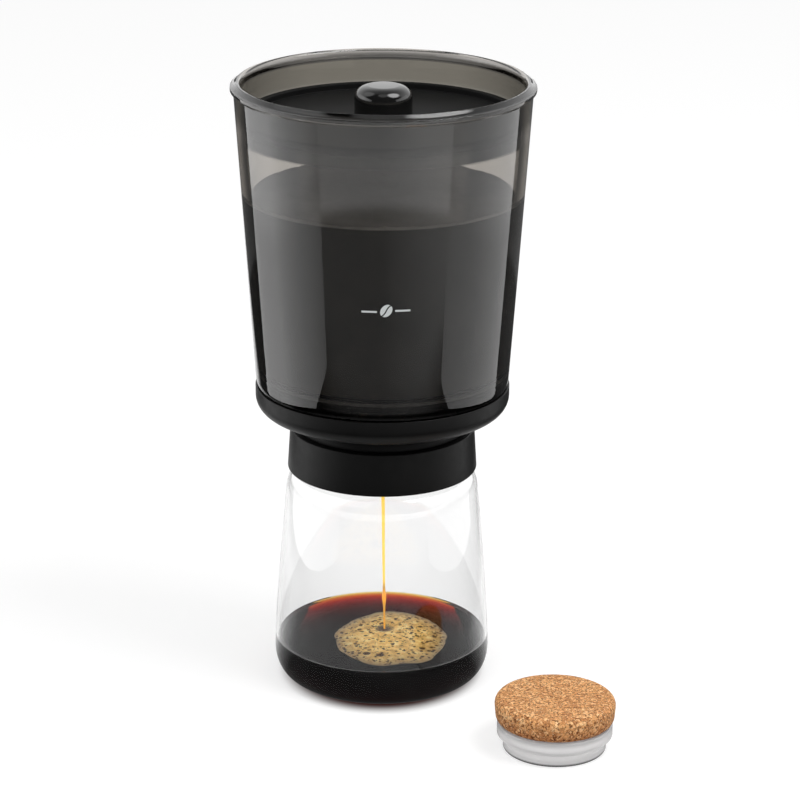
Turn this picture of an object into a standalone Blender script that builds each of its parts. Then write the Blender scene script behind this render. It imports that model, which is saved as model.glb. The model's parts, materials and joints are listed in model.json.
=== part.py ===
"""Cold brew coffee maker: a tinted brewing container with its drain base stands on a glass carafe.

The origin is the centre of the carafe's flat bottom, +Z is up, and lengths are in metres.
The brewing container lifts off the carafe, its lid, water spreader and filter lift out of it,
its drain valve closes as it leaves the carafe, and the carafe's cork stopper stands beside.
"""

import math

import bmesh
import bpy
from mathutils import Matrix, Vector

# Fineness of the turned shapes
WIDE_SEGMENTS = 40
MIDDLE_SEGMENTS = 24
SMALL_SEGMENTS = 16
ARC_STEPS = 3
SMALL_ARC_STEPS = 2
FOOT_ARC_STEPS = 5

# Clearances and the overrun of cutters
TOUCH_GAP = 0.0003
SLIDE_GAP = 0.0004
BORE_GAP = 0.0004
OVERRUN = 0.0020

# Glass carafe
CARAFE_BODY_RADIUS = 0.0527
CARAFE_BODY_HEIGHT = 0.0140
CARAFE_WALL = 0.0024
CARAFE_HEEL_WIDTH = 0.0087
CARAFE_SIDE_TAPER = 0.0061
CARAFE_SIDE_BEND = 1.3
CARAFE_SIDE_STEPS = 5
CARAFE_SHOULDER_HEIGHT = 0.0975
CARAFE_SHOULDER_ROUNDING = 0.0120
CARAFE_SHOULDER_TURN = math.radians(68)
CARAFE_SHOULDER_RISE = 0.0162
CARAFE_NECK_RADIUS = 0.0292
CARAFE_NECK_HEIGHT = 0.0108
CARAFE_NECK_ROUNDING = 0.0022
CARAFE_LIP_PROUD = 0.0018
CARAFE_LIP_HEIGHT = 0.0036
CARAFE_LIP_ROUNDING = 0.0011

# Brewing container
CONTAINER_HEIGHT = 0.1586
CONTAINER_TAPER = 0.0106
CONTAINER_FOOT_ROUNDING = 0.0150
CONTAINER_WALL = 0.0044
CONTAINER_MOUTH_WALL = 0.0037
FLANGE_PROUD = 0.0012
FLANGE_HEIGHT = 0.0050
FLANGE_SLOPE = 0.0017
FLANGE_ROUNDING = 0.0008

# Drain base: the cup under the container, and the collar that slips over the carafe
CUP_STEP = 0.0197
CUP_PROUD = 0.0011
CUP_RIM_RISE = 0.0101
CUP_ROUNDING = 0.0085
CUP_FLOOR = 0.0024
CUP_RIM_ROUNDING = 0.0003
SEAT_OVERHANG = 0.0028
SEAT_BOSS_WALL = 0.0045
SEAT_BOSS_HEIGHT = 0.0094
NECK_ROOM = 0.0024
NECK_WALL = 0.0026
NECK_HEIGHT = 0.0089
NECK_ROUNDING = 0.0058
SEAT_GASKET_HEIGHT = 0.0025
COLLAR_STEP = 0.0021
COLLAR_SHOULDER_GAP = 0.0035
COLLAR_HEIGHT = 0.0208
COLLAR_WALL = 0.0022
COLLAR_ROUNDING = 0.0008
COLLAR_SPIGOT_HEIGHT = 0.0050
COLLAR_SPIGOT_WALL = 0.0024

# Drain body, which clamps the container to the cup and carries the valve
DRAIN_BORE = 0.0085
DRAIN_THREAD_STEP = 0.0017
DRAIN_FLANGE_WIDTH = 0.0090
DRAIN_FLANGE_HEIGHT = 0.0018
DRAIN_CHAMFER = 0.0008
SPOUT_WALL = 0.0018
SPOUT_ARM_GAP = 0.0006
SPOUT_THREAD_RUNOUT = 0.0012
GASKET_HEIGHT = 0.0010
NUT_HEIGHT = 0.0034
NUT_WALL = 0.0065
NUT_SIDES = 6
GUIDE_RADIUS = 0.0048
GUIDE_HEIGHT = 0.0030
GUIDE_DROP = 0.0098
GUIDE_SPOKES = 3
GUIDE_SPOKE_WIDTH = 0.0016

# Drain valve, held up by the carafe's rim
VALVE_TRAVEL = 0.0040
STEM_RADIUS = 0.0022
STEM_TIP_LENGTH = 0.0030
STEM_TIP_RADIUS = 0.0006
STEM_TAIL = 0.0036
VALVE_SEAL_OVERLAP = 0.0023
VALVE_SEAL_HEIGHT = 0.0016
VALVE_HEAD_INSET = 0.0006
VALVE_HEAD_HEIGHT = 0.0014
SPIDER_ARMS = 3
SPIDER_ARM_WIDTH = 0.0040
SPIDER_ARM_HEIGHT = 0.0020
SPIDER_HUB_RADIUS = 0.0058
SPIDER_HUB_DROP = 0.0012
CLIP_RADIUS = 0.0045
CLIP_HEIGHT = 0.0009
SPRING_RADIUS = 0.0041
SPRING_WIRE = 0.00030
SPRING_TURNS = 4
SPRING_TURN_POINTS = 12

# Filter
FILTER_RING_HEIGHT = 0.0034
FILTER_RING_WIDTH = 0.0050
FILTER_FOOT_INSET = 0.0031
FILTER_FOOT_WALL = 0.0020
FILTER_FOOT_SINK = 0.0008
FILTER_FOOT_WINDOWS = 6
FILTER_WINDOW_WIDTH = 0.0200
FILTER_WINDOW_HEIGHT = 0.0060
FILTER_HUB_RADIUS = 0.0070
FILTER_SPOKES = 6
FILTER_SPOKE_WIDTH = 0.0030
FILTER_SPOKE_HEIGHT = 0.0020
FILTER_MESH_HEIGHT = 0.0005
FILTER_GASKET_HEIGHT = 0.0016
FILTER_GASKET_WIDTH = 0.0028
CLAMP_RING_HEIGHT = 0.0014
CLAMP_RING_WIDTH = 0.0040

# Water spreader and lid in the container's mouth
LID_DEPTH = 0.0160
LID_HEIGHT = 0.0048
LID_RIM_WIDTH = 0.0036
LID_RECESS = 0.0030
LID_ROUNDING = 0.0006
LID_MOAT_WIDTH = 0.0030
LID_MOAT_DEPTH = 0.0007
SPREADER_HEIGHT = 0.0054
SPREADER_FLOOR = 0.0017
SPREADER_RIM = 0.0020
SPREADER_HOLE_RADIUS = 0.0011
SPREADER_HOLE_SIDES = 6
SPREADER_ROW_STEP = 0.0150
SPREADER_ROWS = 3
SPREADER_FIRST_ROW_HOLES = 6
KNOB_RADIUS = 0.0137
KNOB_HEIGHT = 0.0167
KNOB_ROUNDING = 0.0062
KNOB_CROWN = 0.0012
SCREW_RADIUS = 0.0014
SCREW_HEAD_RADIUS = 0.0030
SCREW_HEAD_HEIGHT = 0.0016
SCREW_LENGTH = 0.0090

# Cork stopper, standing beside the carafe
STOPPER_X = 0.0819
STOPPER_Y = -0.0913
CORK_PROUD = 0.0016
CORK_HEIGHT = 0.0118
CORK_ROUNDING = 0.0034
SEAL_SQUEEZE = 0.0003
SEAL_HEIGHT = 0.0130
SEAL_WALL = 0.0024
SEAL_STEP = 0.0029
SEAL_STEP_HEIGHT = 0.0063
SEAL_ROUNDING = 0.0009
CORE_SPIGOT_RADIUS = 0.0080
CORE_SPIGOT_HEIGHT = 0.0062

# Radii, each from the piece that it fits
CARAFE_BASE_RADIUS = CARAFE_BODY_RADIUS - CARAFE_HEEL_WIDTH
CARAFE_SHOULDER_RADIUS = CARAFE_BODY_RADIUS - CARAFE_SIDE_TAPER
CARAFE_BORE = CARAFE_NECK_RADIUS - CARAFE_WALL
CARAFE_LIP_RADIUS = CARAFE_NECK_RADIUS + CARAFE_LIP_PROUD
SEAT_BOSS_RADIUS = CARAFE_LIP_RADIUS + SEAT_OVERHANG
SEAT_BOSS_BORE = SEAT_BOSS_RADIUS - SEAT_BOSS_WALL
NECK_BORE = SEAT_BOSS_RADIUS + NECK_ROOM + COLLAR_SPIGOT_WALL + TOUCH_GAP
NECK_RADIUS = NECK_BORE + NECK_WALL
COLLAR_TOP_RADIUS = NECK_RADIUS + COLLAR_STEP
CUP_RADIUS = NECK_RADIUS + CUP_STEP
CONTAINER_FOOT_RADIUS = CUP_RADIUS - CUP_PROUD
CONTAINER_TOP_RADIUS = CONTAINER_FOOT_RADIUS + CONTAINER_TAPER
SPOUT_RADIUS = DRAIN_BORE + SPOUT_WALL
DRAIN_NECK_RADIUS = SPOUT_RADIUS + DRAIN_THREAD_STEP
DRAIN_FLANGE_RADIUS = DRAIN_NECK_RADIUS + DRAIN_FLANGE_WIDTH
DRAIN_HOLE_RADIUS = DRAIN_NECK_RADIUS + BORE_GAP
NUT_RADIUS = DRAIN_NECK_RADIUS + NUT_WALL
VALVE_SEAL_RADIUS = DRAIN_BORE + VALVE_SEAL_OVERLAP
VALVE_HEAD_RADIUS = VALVE_SEAL_RADIUS - VALVE_HEAD_INSET
SEAL_RADIUS = CARAFE_BORE + SEAL_SQUEEZE
SEAL_FOOT_RADIUS = SEAL_RADIUS - SEAL_STEP
CORK_RADIUS = SEAL_RADIUS + CORK_PROUD

# Heights in the stack, each from the piece that carries it
CARAFE_HEIGHT = CARAFE_SHOULDER_HEIGHT + CARAFE_SHOULDER_RISE + CARAFE_NECK_HEIGHT
SEAT_BOTTOM = CARAFE_HEIGHT + TOUCH_GAP
SEAT_BOSS_BOTTOM = SEAT_BOTTOM + SEAT_GASKET_HEIGHT + TOUCH_GAP
CUP_BOTTOM = SEAT_BOSS_BOTTOM + SEAT_BOSS_HEIGHT
CUP_INSIDE = CUP_BOTTOM + CUP_FLOOR
CONTAINER_BOTTOM = CUP_INSIDE + TOUCH_GAP
CONTAINER_INSIDE = CONTAINER_BOTTOM + CONTAINER_WALL
CONTAINER_TOP = CONTAINER_BOTTOM + CONTAINER_HEIGHT
CUP_RIM = CUP_INSIDE + CUP_RIM_RISE
NECK_BOTTOM = CUP_BOTTOM - NECK_HEIGHT
COLLAR_TOP = NECK_BOTTOM - TOUCH_GAP
COLLAR_BOTTOM = COLLAR_TOP - COLLAR_HEIGHT
FLOOR_GASKET_BOTTOM = CONTAINER_INSIDE + TOUCH_GAP
DRAIN_FLANGE_BOTTOM = FLOOR_GASKET_BOTTOM + GASKET_HEIGHT + TOUCH_GAP
DRAIN_TOP = DRAIN_FLANGE_BOTTOM + DRAIN_FLANGE_HEIGHT
NUT_TOP = CUP_BOTTOM - TOUCH_GAP
NUT_BOTTOM = NUT_TOP - NUT_HEIGHT
ARM_BOTTOM = CARAFE_HEIGHT + TOUCH_GAP
ARM_TOP = ARM_BOTTOM + SPIDER_ARM_HEIGHT
SPIDER_HUB_BOTTOM = ARM_BOTTOM - SPIDER_HUB_DROP
SPOUT_BOTTOM = ARM_TOP + SPOUT_ARM_GAP
GUIDE_BOTTOM = DRAIN_TOP - GUIDE_DROP - GUIDE_HEIGHT
CLIP_TOP = SPIDER_HUB_BOTTOM - TOUCH_GAP
STEM_BOTTOM = CLIP_TOP - CLIP_HEIGHT - STEM_TAIL
VALVE_SEAL_BOTTOM = DRAIN_TOP + VALVE_TRAVEL + TOUCH_GAP
VALVE_HEAD_BOTTOM = VALVE_SEAL_BOTTOM + VALVE_SEAL_HEIGHT + TOUCH_GAP
VALVE_HEAD_TOP = VALVE_HEAD_BOTTOM + VALVE_HEAD_HEIGHT
FILTER_FOOT_BOTTOM = CONTAINER_INSIDE + TOUCH_GAP
FILTER_RING_BOTTOM = VALVE_HEAD_TOP + SLIDE_GAP
FILTER_RING_TOP = FILTER_RING_BOTTOM + FILTER_RING_HEIGHT
FILTER_MESH_BOTTOM = FILTER_RING_BOTTOM + FILTER_SPOKE_HEIGHT + TOUCH_GAP
LID_TOP = CONTAINER_TOP - LID_DEPTH
LID_BOTTOM = LID_TOP - LID_HEIGHT
LID_FLOOR = LID_TOP - LID_RECESS
SPREADER_TOP = LID_BOTTOM - TOUCH_GAP
SPREADER_BOTTOM = SPREADER_TOP - SPREADER_HEIGHT
MOUTH_LEDGE = SPREADER_BOTTOM - TOUCH_GAP
KNOB_BOTTOM = LID_FLOOR - LID_MOAT_DEPTH + TOUCH_GAP
SEAL_TOP = SEAL_HEIGHT
CORK_BOTTOM = SEAL_TOP + TOUCH_GAP


def material(name, color, roughness, metallic=0.0, alpha=1.0):
    """A plain finish in the piece's own colour."""
    made = bpy.data.materials.new(name)
    made.use_nodes = True
    shader = made.node_tree.nodes["Principled BSDF"]
    shader.inputs["Base Color"].default_value = (*color, 1.0)
    shader.inputs["Roughness"].default_value = roughness
    shader.inputs["Metallic"].default_value = metallic
    shader.inputs["Alpha"].default_value = alpha
    made.diffuse_color = (*color, alpha)
    return made


def group(name, location=(0, 0, 0)):
    """An empty that carries the pieces of one moving body, on its joint's axis."""
    empty = bpy.data.objects.new(name, None)
    empty.location = location
    bpy.context.scene.collection.objects.link(empty)
    return empty


def piece(name, mesh, parent, finish, at=(0, 0, 0)):
    """Puts a finished mesh into the scene as a named sub-part under its body."""
    mesh.materials.append(finish)
    mesh.shade_smooth()
    mesh.set_sharp_from_angle(angle=math.radians(30))
    made = bpy.data.objects.new(name, mesh)
    bpy.context.scene.collection.objects.link(made)
    made.location = at
    made.parent = parent
    return made


def mesh_from(shape, name):
    """Turns a bmesh into a mesh with its faces pointing out."""
    bmesh.ops.recalc_face_normals(shape, faces=shape.faces)
    made = bpy.data.meshes.new(name)
    shape.to_mesh(made)
    shape.free()
    return made


def rounded(corners, steps=ARC_STEPS):
    """The outline through (radius, height, rounding) corners, with an arc at each rounded one."""
    outline = []
    for index, (radius, height, rounding) in enumerate(corners):
        here = Vector((radius, height))
        before = Vector(corners[index - 1][:2]) - here
        after = Vector(corners[(index + 1) % len(corners)][:2]) - here
        if rounding == 0:
            outline.append(here)
            continue
        half = before.angle(after) / 2
        setback = rounding / math.tan(half)
        centre = here + (before.normalized() + after.normalized()).normalized() * rounding / math.sin(half)
        start = here + before.normalized() * setback - centre
        end = here + after.normalized() * setback - centre
        turn = start.angle_signed(end)
        count = max(1, round(abs(turn) / math.radians(90) * steps))
        for step in range(count + 1):
            outline.append(centre + turned_by(start, turn * step / count))
    return outline


def turned_by(vector, angle):
    """The vector turned clockwise by an angle, as angle_signed counts it."""
    return Vector((vector.x * math.cos(angle) + vector.y * math.sin(angle),
                   vector.y * math.cos(angle) - vector.x * math.sin(angle)))


def arc(centre, radius, start, end, steps):
    """Points on an arc from one angle to another, both counted from the outward direction."""
    return [centre + radius * Vector((math.cos(start + (end - start) * step / steps),
                                      math.sin(start + (end - start) * step / steps)))
            for step in range(steps + 1)]


def offset(outline, distance):
    """The outline moved to its left by a distance, with both ends kept square."""
    moved = []
    for index, point in enumerate(outline):
        into = (point - outline[index - 1]).normalized() if index > 0 else None
        out = (outline[index + 1] - point).normalized() if index + 1 < len(outline) else None
        into = into or out
        out = out or into
        normal = Vector((-into.y - out.y, into.x + out.x)).normalized()
        square = Vector((-into.y, into.x)).dot(normal)
        moved.append(point + normal * distance / square)
    return moved


def turned(name, outline, segments):
    """A solid turned about the vertical axis. An outline that leaves the axis closes on itself."""
    shape = bmesh.new()
    verts = [shape.verts.new((point.x, 0, point.y)) for point in outline]
    edges = [shape.edges.new(pair) for pair in zip(verts, verts[1:])]
    if outline[0].x > 0 or outline[-1].x > 0:
        edges.append(shape.edges.new((verts[-1], verts[0])))
    bmesh.ops.spin(shape, geom=verts + edges, cent=(0, 0, 0), axis=(0, 0, 1),
                   angle=math.tau, steps=segments, use_merge=True)
    bmesh.ops.remove_doubles(shape, verts=shape.verts, dist=TOUCH_GAP / WIDE_SEGMENTS)
    return mesh_from(shape, name)


def plain(*points):
    """An outline of sharp corners."""
    return [Vector(point) for point in points]


def ring(name, inner, outer, bottom, top, segments):
    """A plain ring of four corners."""
    outline = plain((inner, bottom), (outer, bottom), (outer, top), (inner, top))
    return turned(name, outline, segments)


def disc(name, radius, bottom, top, segments):
    """A plain disc."""
    return turned(name, plain((0, bottom), (radius, bottom), (radius, top), (0, top)), segments)


def bar(name, start, length, width, bottom, top, angle=0.0):
    """A straight bar that runs outwards from a radius, turned about the vertical axis."""
    shape = bmesh.new()
    bmesh.ops.create_cube(shape, size=1.0)
    bmesh.ops.scale(shape, vec=(length, width, top - bottom), verts=shape.verts)
    middle = Vector((start + length / 2, 0, (bottom + top) / 2))
    bmesh.ops.translate(shape, vec=middle, verts=shape.verts)
    bmesh.ops.rotate(shape, cent=(0, 0, 0), matrix=Matrix.Rotation(angle, 3, "Z"), verts=shape.verts)
    return mesh_from(shape, name)


def combine(target, mesh, operation):
    """Joins a hidden guide to the piece or cuts it out, with an exact Boolean."""
    guide = bpy.data.objects.new(mesh.name, mesh)
    bpy.context.scene.collection.objects.link(guide)
    guide.parent = target.parent
    guide.location = target.location
    guide.hide_render = True
    guide.display_type = "WIRE"
    modifier = target.modifiers.new(mesh.name, "BOOLEAN")
    modifier.operation = operation
    modifier.solver = "EXACT"
    modifier.object = guide


def round_angles(count, first=0.0):
    """Evenly spaced directions round the axis."""
    return [first + math.tau * index / count for index in range(count)]


def container_radius(height):
    """Radius of the container's straight outer wall at a height."""
    share = (height - CONTAINER_BOTTOM) / CONTAINER_HEIGHT
    return CONTAINER_FOOT_RADIUS + (CONTAINER_TOP_RADIUS - CONTAINER_FOOT_RADIUS) * share


def container_foot_centre():
    """Centre of the container's foot rounding, and the lean of its wall."""
    lean = math.atan2(CONTAINER_TOP_RADIUS - CONTAINER_FOOT_RADIUS, CONTAINER_HEIGHT)
    height = CONTAINER_BOTTOM + CONTAINER_FOOT_ROUNDING
    radius = container_radius(height) - CONTAINER_FOOT_ROUNDING / math.cos(lean)
    return Vector((radius, height)), lean


def mouth_radius(height):
    """Inner radius of the container's mouth, above the ledge that carries the spreader."""
    return container_radius(height) - CONTAINER_MOUTH_WALL


def carafe_shoulder_centre():
    """Centre of the carafe's shoulder rounding, and the lean of the side that runs into it."""
    lean = math.atan2(CARAFE_SIDE_TAPER * CARAFE_SIDE_BEND, CARAFE_SHOULDER_HEIGHT - CARAFE_BODY_HEIGHT)
    shoulder = Vector((CARAFE_SHOULDER_RADIUS, CARAFE_SHOULDER_HEIGHT))
    return shoulder - CARAFE_SHOULDER_ROUNDING * Vector((math.cos(lean), math.sin(lean))), lean


def shoulder_radius(height):
    """Outer radius of the carafe's shoulder at a height."""
    centre, _ = carafe_shoulder_centre()
    rise = min(max(height - centre.y, 0), CARAFE_SHOULDER_ROUNDING)
    return centre.x + math.sqrt(CARAFE_SHOULDER_ROUNDING ** 2 - rise ** 2)


def make_carafe(parent, finish):
    """Glass carafe: one curve up its outside, the same curve a wall's thickness in, and a lip."""
    base = Vector((CARAFE_BASE_RADIUS, CARAFE_BODY_HEIGHT))
    corner = Vector((CARAFE_HEEL_WIDTH, CARAFE_BODY_HEIGHT))
    side = Vector((-CARAFE_SIDE_TAPER, CARAFE_SHOULDER_HEIGHT - CARAFE_BODY_HEIGHT))
    neck_bottom = CARAFE_HEIGHT - CARAFE_NECK_HEIGHT
    outline = [Vector((0, 0))]
    for point in arc(Vector((0, 0)), 1, math.radians(-90), 0, ARC_STEPS):
        outline.append(base + point * corner)
    for step in range(1, CARAFE_SIDE_STEPS):
        share = step / CARAFE_SIDE_STEPS
        outline.append(Vector((CARAFE_BODY_RADIUS + side.x * share ** CARAFE_SIDE_BEND,
                               CARAFE_BODY_HEIGHT + side.y * share)))
    centre, lean = carafe_shoulder_centre()
    outline += arc(centre, CARAFE_SHOULDER_ROUNDING, lean, CARAFE_SHOULDER_TURN, ARC_STEPS)
    neck = [(*outline[-1], 0),
            (CARAFE_NECK_RADIUS, neck_bottom, CARAFE_NECK_ROUNDING),
            (CARAFE_NECK_RADIUS, CARAFE_HEIGHT - CARAFE_LIP_HEIGHT, 0)]
    outline += rounded(neck, SMALL_ARC_STEPS)[1:]
    inside = offset(outline, CARAFE_WALL)
    lip = [(CARAFE_BORE, CARAFE_HEIGHT - CARAFE_LIP_HEIGHT, 0),
           (CARAFE_LIP_RADIUS, CARAFE_HEIGHT - CARAFE_LIP_HEIGHT + CARAFE_LIP_ROUNDING, CARAFE_LIP_ROUNDING),
           (CARAFE_LIP_RADIUS, CARAFE_HEIGHT, CARAFE_LIP_ROUNDING),
           (CARAFE_BORE, CARAFE_HEIGHT, CARAFE_LIP_ROUNDING)]
    outline += rounded(lip, SMALL_ARC_STEPS)[1:]
    outline += reversed(inside)
    return piece("carafe_glass", turned("carafe_glass", outline, WIDE_SEGMENTS), parent, finish)


def make_container(parent, finish):
    """Tinted tumbler with a sloped flange round its mouth, a ledge inside it and a drain hole."""
    centre, lean = container_foot_centre()
    flange_bottom = CONTAINER_TOP - FLANGE_HEIGHT
    flange_radius = CONTAINER_TOP_RADIUS + FLANGE_PROUD
    outline = plain((DRAIN_HOLE_RADIUS, CONTAINER_BOTTOM))
    outline += arc(centre, CONTAINER_FOOT_ROUNDING, math.radians(-90), -lean, FOOT_ARC_STEPS)
    rim = [(*outline[-1], 0),
           (container_radius(flange_bottom), flange_bottom, 0),
           (flange_radius, flange_bottom + FLANGE_ROUNDING, FLANGE_ROUNDING),
           (flange_radius, CONTAINER_TOP - FLANGE_SLOPE, FLANGE_ROUNDING),
           (mouth_radius(CONTAINER_TOP), CONTAINER_TOP, FLANGE_ROUNDING),
           (mouth_radius(MOUTH_LEDGE), MOUTH_LEDGE, 0),
           (container_radius(MOUTH_LEDGE) - CONTAINER_WALL, MOUTH_LEDGE, 0)]
    outline += rounded(rim, SMALL_ARC_STEPS)[1:]
    inner = CONTAINER_FOOT_ROUNDING - CONTAINER_WALL
    outline += arc(centre, inner, -lean, math.radians(-90), ARC_STEPS)
    outline += plain((DRAIN_HOLE_RADIUS, CONTAINER_INSIDE))
    return piece("container", turned("container", outline, WIDE_SEGMENTS), parent, finish)


def make_cup(parent, finish):
    """Black cup that holds the container's foot, with the neck for the collar and the seat's boss."""
    centre, _ = container_foot_centre()
    reach = CONTAINER_FOOT_ROUNDING + TOUCH_GAP
    rim_angle = math.asin((CUP_RIM - centre.y) / reach)
    outside = [(DRAIN_HOLE_RADIUS, CUP_BOTTOM, 0),
               (SEAT_BOSS_BORE, CUP_BOTTOM, 0),
               (SEAT_BOSS_BORE, SEAT_BOSS_BOTTOM, 0),
               (SEAT_BOSS_RADIUS, SEAT_BOSS_BOTTOM, 0),
               (SEAT_BOSS_RADIUS, CUP_BOTTOM, 0),
               (NECK_BORE, CUP_BOTTOM, 0),
               (NECK_BORE, NECK_BOTTOM, 0),
               (NECK_RADIUS, NECK_BOTTOM, 0),
               (NECK_RADIUS, CUP_BOTTOM, NECK_ROUNDING),
               (CUP_RADIUS, CUP_BOTTOM, CUP_ROUNDING),
               (CUP_RADIUS, CUP_RIM, CUP_RIM_ROUNDING)]
    inside = arc(centre, reach, rim_angle, math.radians(-90), FOOT_ARC_STEPS)
    inside += plain((DRAIN_HOLE_RADIUS, CUP_INSIDE))
    outline = rounded([*outside, (*inside[0], 0)], ARC_STEPS)
    return piece("base_cup", turned("base_cup", outline + inside[1:], WIDE_SEGMENTS), parent, finish)


def make_collar(parent, finish):
    """Skirt that slips over the carafe's shoulder. Its spigot plugs into the cup's neck."""
    spigot = NECK_BORE - TOUCH_GAP
    web_bottom = COLLAR_TOP - COLLAR_WALL
    bore = SEAT_BOSS_RADIUS + TOUCH_GAP
    skirt_bore = shoulder_radius(COLLAR_BOTTOM) + COLLAR_SHOULDER_GAP
    corners = [(skirt_bore, COLLAR_BOTTOM, 0),
               (skirt_bore + COLLAR_WALL, COLLAR_BOTTOM, COLLAR_ROUNDING),
               (COLLAR_TOP_RADIUS, COLLAR_TOP, COLLAR_ROUNDING),
               (spigot, COLLAR_TOP, 0),
               (spigot, COLLAR_TOP + COLLAR_SPIGOT_HEIGHT, 0),
               (spigot - COLLAR_SPIGOT_WALL, COLLAR_TOP + COLLAR_SPIGOT_HEIGHT, 0),
               (spigot - COLLAR_SPIGOT_WALL, COLLAR_TOP, 0),
               (bore, COLLAR_TOP, 0),
               (bore, web_bottom, 0),
               (COLLAR_TOP_RADIUS - COLLAR_WALL, web_bottom, 0)]
    mesh = turned("collar", rounded(corners, SMALL_ARC_STEPS), WIDE_SEGMENTS)
    return piece("collar", mesh, parent, finish)


def make_drain(parent, finishes):
    """Drain body with its spout and valve guide, the gaskets, and the nut that clamps it."""
    thread_end = NUT_BOTTOM - SPOUT_THREAD_RUNOUT
    corners = plain((DRAIN_BORE + DRAIN_CHAMFER, DRAIN_TOP),
                    (DRAIN_FLANGE_RADIUS, DRAIN_TOP),
                    (DRAIN_FLANGE_RADIUS, DRAIN_FLANGE_BOTTOM),
                    (DRAIN_NECK_RADIUS, DRAIN_FLANGE_BOTTOM),
                    (DRAIN_NECK_RADIUS, thread_end),
                    (SPOUT_RADIUS, thread_end - SPOUT_WALL),
                    (SPOUT_RADIUS, SPOUT_BOTTOM),
                    (DRAIN_BORE, SPOUT_BOTTOM),
                    (DRAIN_BORE, DRAIN_TOP - DRAIN_CHAMFER))
    drain = piece("drain_body", turned("drain_body", corners, MIDDLE_SEGMENTS), parent, finishes["black"])
    guide_top = GUIDE_BOTTOM + GUIDE_HEIGHT
    guide = ring("guide", STEM_RADIUS + BORE_GAP, GUIDE_RADIUS, GUIDE_BOTTOM, guide_top, SMALL_SEGMENTS)
    combine(drain, guide, "UNION")
    spoke_start = (STEM_RADIUS + BORE_GAP + GUIDE_RADIUS) / 2
    spoke_length = DRAIN_BORE + SPOUT_WALL / 2 - spoke_start
    for angle in round_angles(GUIDE_SPOKES):
        spoke = bar("guide_spoke", spoke_start, spoke_length, GUIDE_SPOKE_WIDTH,
                    GUIDE_BOTTOM, guide_top - DRAIN_CHAMFER, angle)
        combine(drain, spoke, "UNION")
    gasket = ring("floor_gasket", DRAIN_HOLE_RADIUS, DRAIN_FLANGE_RADIUS - DRAIN_CHAMFER,
                  FLOOR_GASKET_BOTTOM, FLOOR_GASKET_BOTTOM + GASKET_HEIGHT, MIDDLE_SEGMENTS)
    piece("floor_gasket", gasket, parent, finishes["silicone"])
    nut = piece("drain_nut", disc("drain_nut", NUT_RADIUS, NUT_BOTTOM, NUT_TOP, NUT_SIDES),
                parent, finishes["black"])
    bore = disc("nut_bore", DRAIN_HOLE_RADIUS, NUT_BOTTOM - OVERRUN, NUT_TOP + OVERRUN, MIDDLE_SEGMENTS)
    combine(nut, bore, "DIFFERENCE")
    seat = ring("seat_gasket", SEAT_BOSS_BORE, SEAT_BOSS_RADIUS, SEAT_BOTTOM,
                SEAT_BOTTOM + SEAT_GASKET_HEIGHT, WIDE_SEGMENTS)
    piece("seat_gasket", seat, parent, finishes["silicone"])


def make_spring(parent, finish):
    """Coil between the valve guide and the spider's hub, one unbroken wire."""
    bottom = ARM_TOP + TOUCH_GAP + SPRING_WIRE
    top = GUIDE_BOTTOM - TOUCH_GAP - SPRING_WIRE
    count = SPRING_TURNS * SPRING_TURN_POINTS
    curve = bpy.data.curves.new("valve_spring", "CURVE")
    curve.dimensions = "3D"
    curve.bevel_depth = SPRING_WIRE
    curve.bevel_resolution = 1
    curve.use_fill_caps = True
    curve.materials.append(finish)
    spline = curve.splines.new("POLY")
    spline.points.add(count)
    for index, point in enumerate(spline.points):
        angle = math.tau * index / SPRING_TURN_POINTS
        height = bottom + (top - bottom) * index / count
        point.co = (SPRING_RADIUS * math.cos(angle), SPRING_RADIUS * math.sin(angle), height, 1)
    least_gap = (top - bottom) / SPRING_TURNS - 2 * SPRING_WIRE
    print("valve_spring least gap to itself, metres:", round(least_gap, 5))
    spring = bpy.data.objects.new("valve_spring", curve)
    spring.parent = parent
    bpy.context.scene.collection.objects.link(spring)


def make_valve(parent, finishes):
    """Stem with its head and seal, and the spider whose arms rest on the carafe's rim."""
    outline = plain((0, STEM_BOTTOM),
                    (STEM_TIP_RADIUS, STEM_BOTTOM),
                    (STEM_RADIUS, STEM_BOTTOM + STEM_TIP_LENGTH),
                    (STEM_RADIUS, VALVE_HEAD_BOTTOM),
                    (VALVE_HEAD_RADIUS, VALVE_HEAD_BOTTOM),
                    (VALVE_HEAD_RADIUS, VALVE_HEAD_TOP),
                    (0, VALVE_HEAD_TOP))
    piece("valve_stem", turned("valve_stem", outline, SMALL_SEGMENTS), parent, finishes["black"])
    bore = STEM_RADIUS + BORE_GAP
    seal = ring("valve_seal", bore, VALVE_SEAL_RADIUS, VALVE_SEAL_BOTTOM,
                VALVE_SEAL_BOTTOM + VALVE_SEAL_HEIGHT, SMALL_SEGMENTS)
    piece("valve_seal", seal, parent, finishes["silicone"])
    hub = ring("valve_spider", bore, SPIDER_HUB_RADIUS, SPIDER_HUB_BOTTOM, ARM_TOP, SMALL_SEGMENTS)
    spider = piece("valve_spider", hub, parent, finishes["black"])
    arm_start = (bore + SPIDER_HUB_RADIUS) / 2
    arm_length = SEAT_BOSS_BORE - SLIDE_GAP - arm_start
    for angle in round_angles(SPIDER_ARMS, math.radians(30)):
        arm = bar("spider_arm", arm_start, arm_length, SPIDER_ARM_WIDTH, ARM_BOTTOM, ARM_TOP, angle)
        combine(spider, arm, "UNION")
    clip = ring("stem_clip", bore, CLIP_RADIUS, CLIP_TOP - CLIP_HEIGHT, CLIP_TOP, SMALL_SEGMENTS)
    piece("stem_clip", clip, parent, finishes["steel"])


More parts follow.
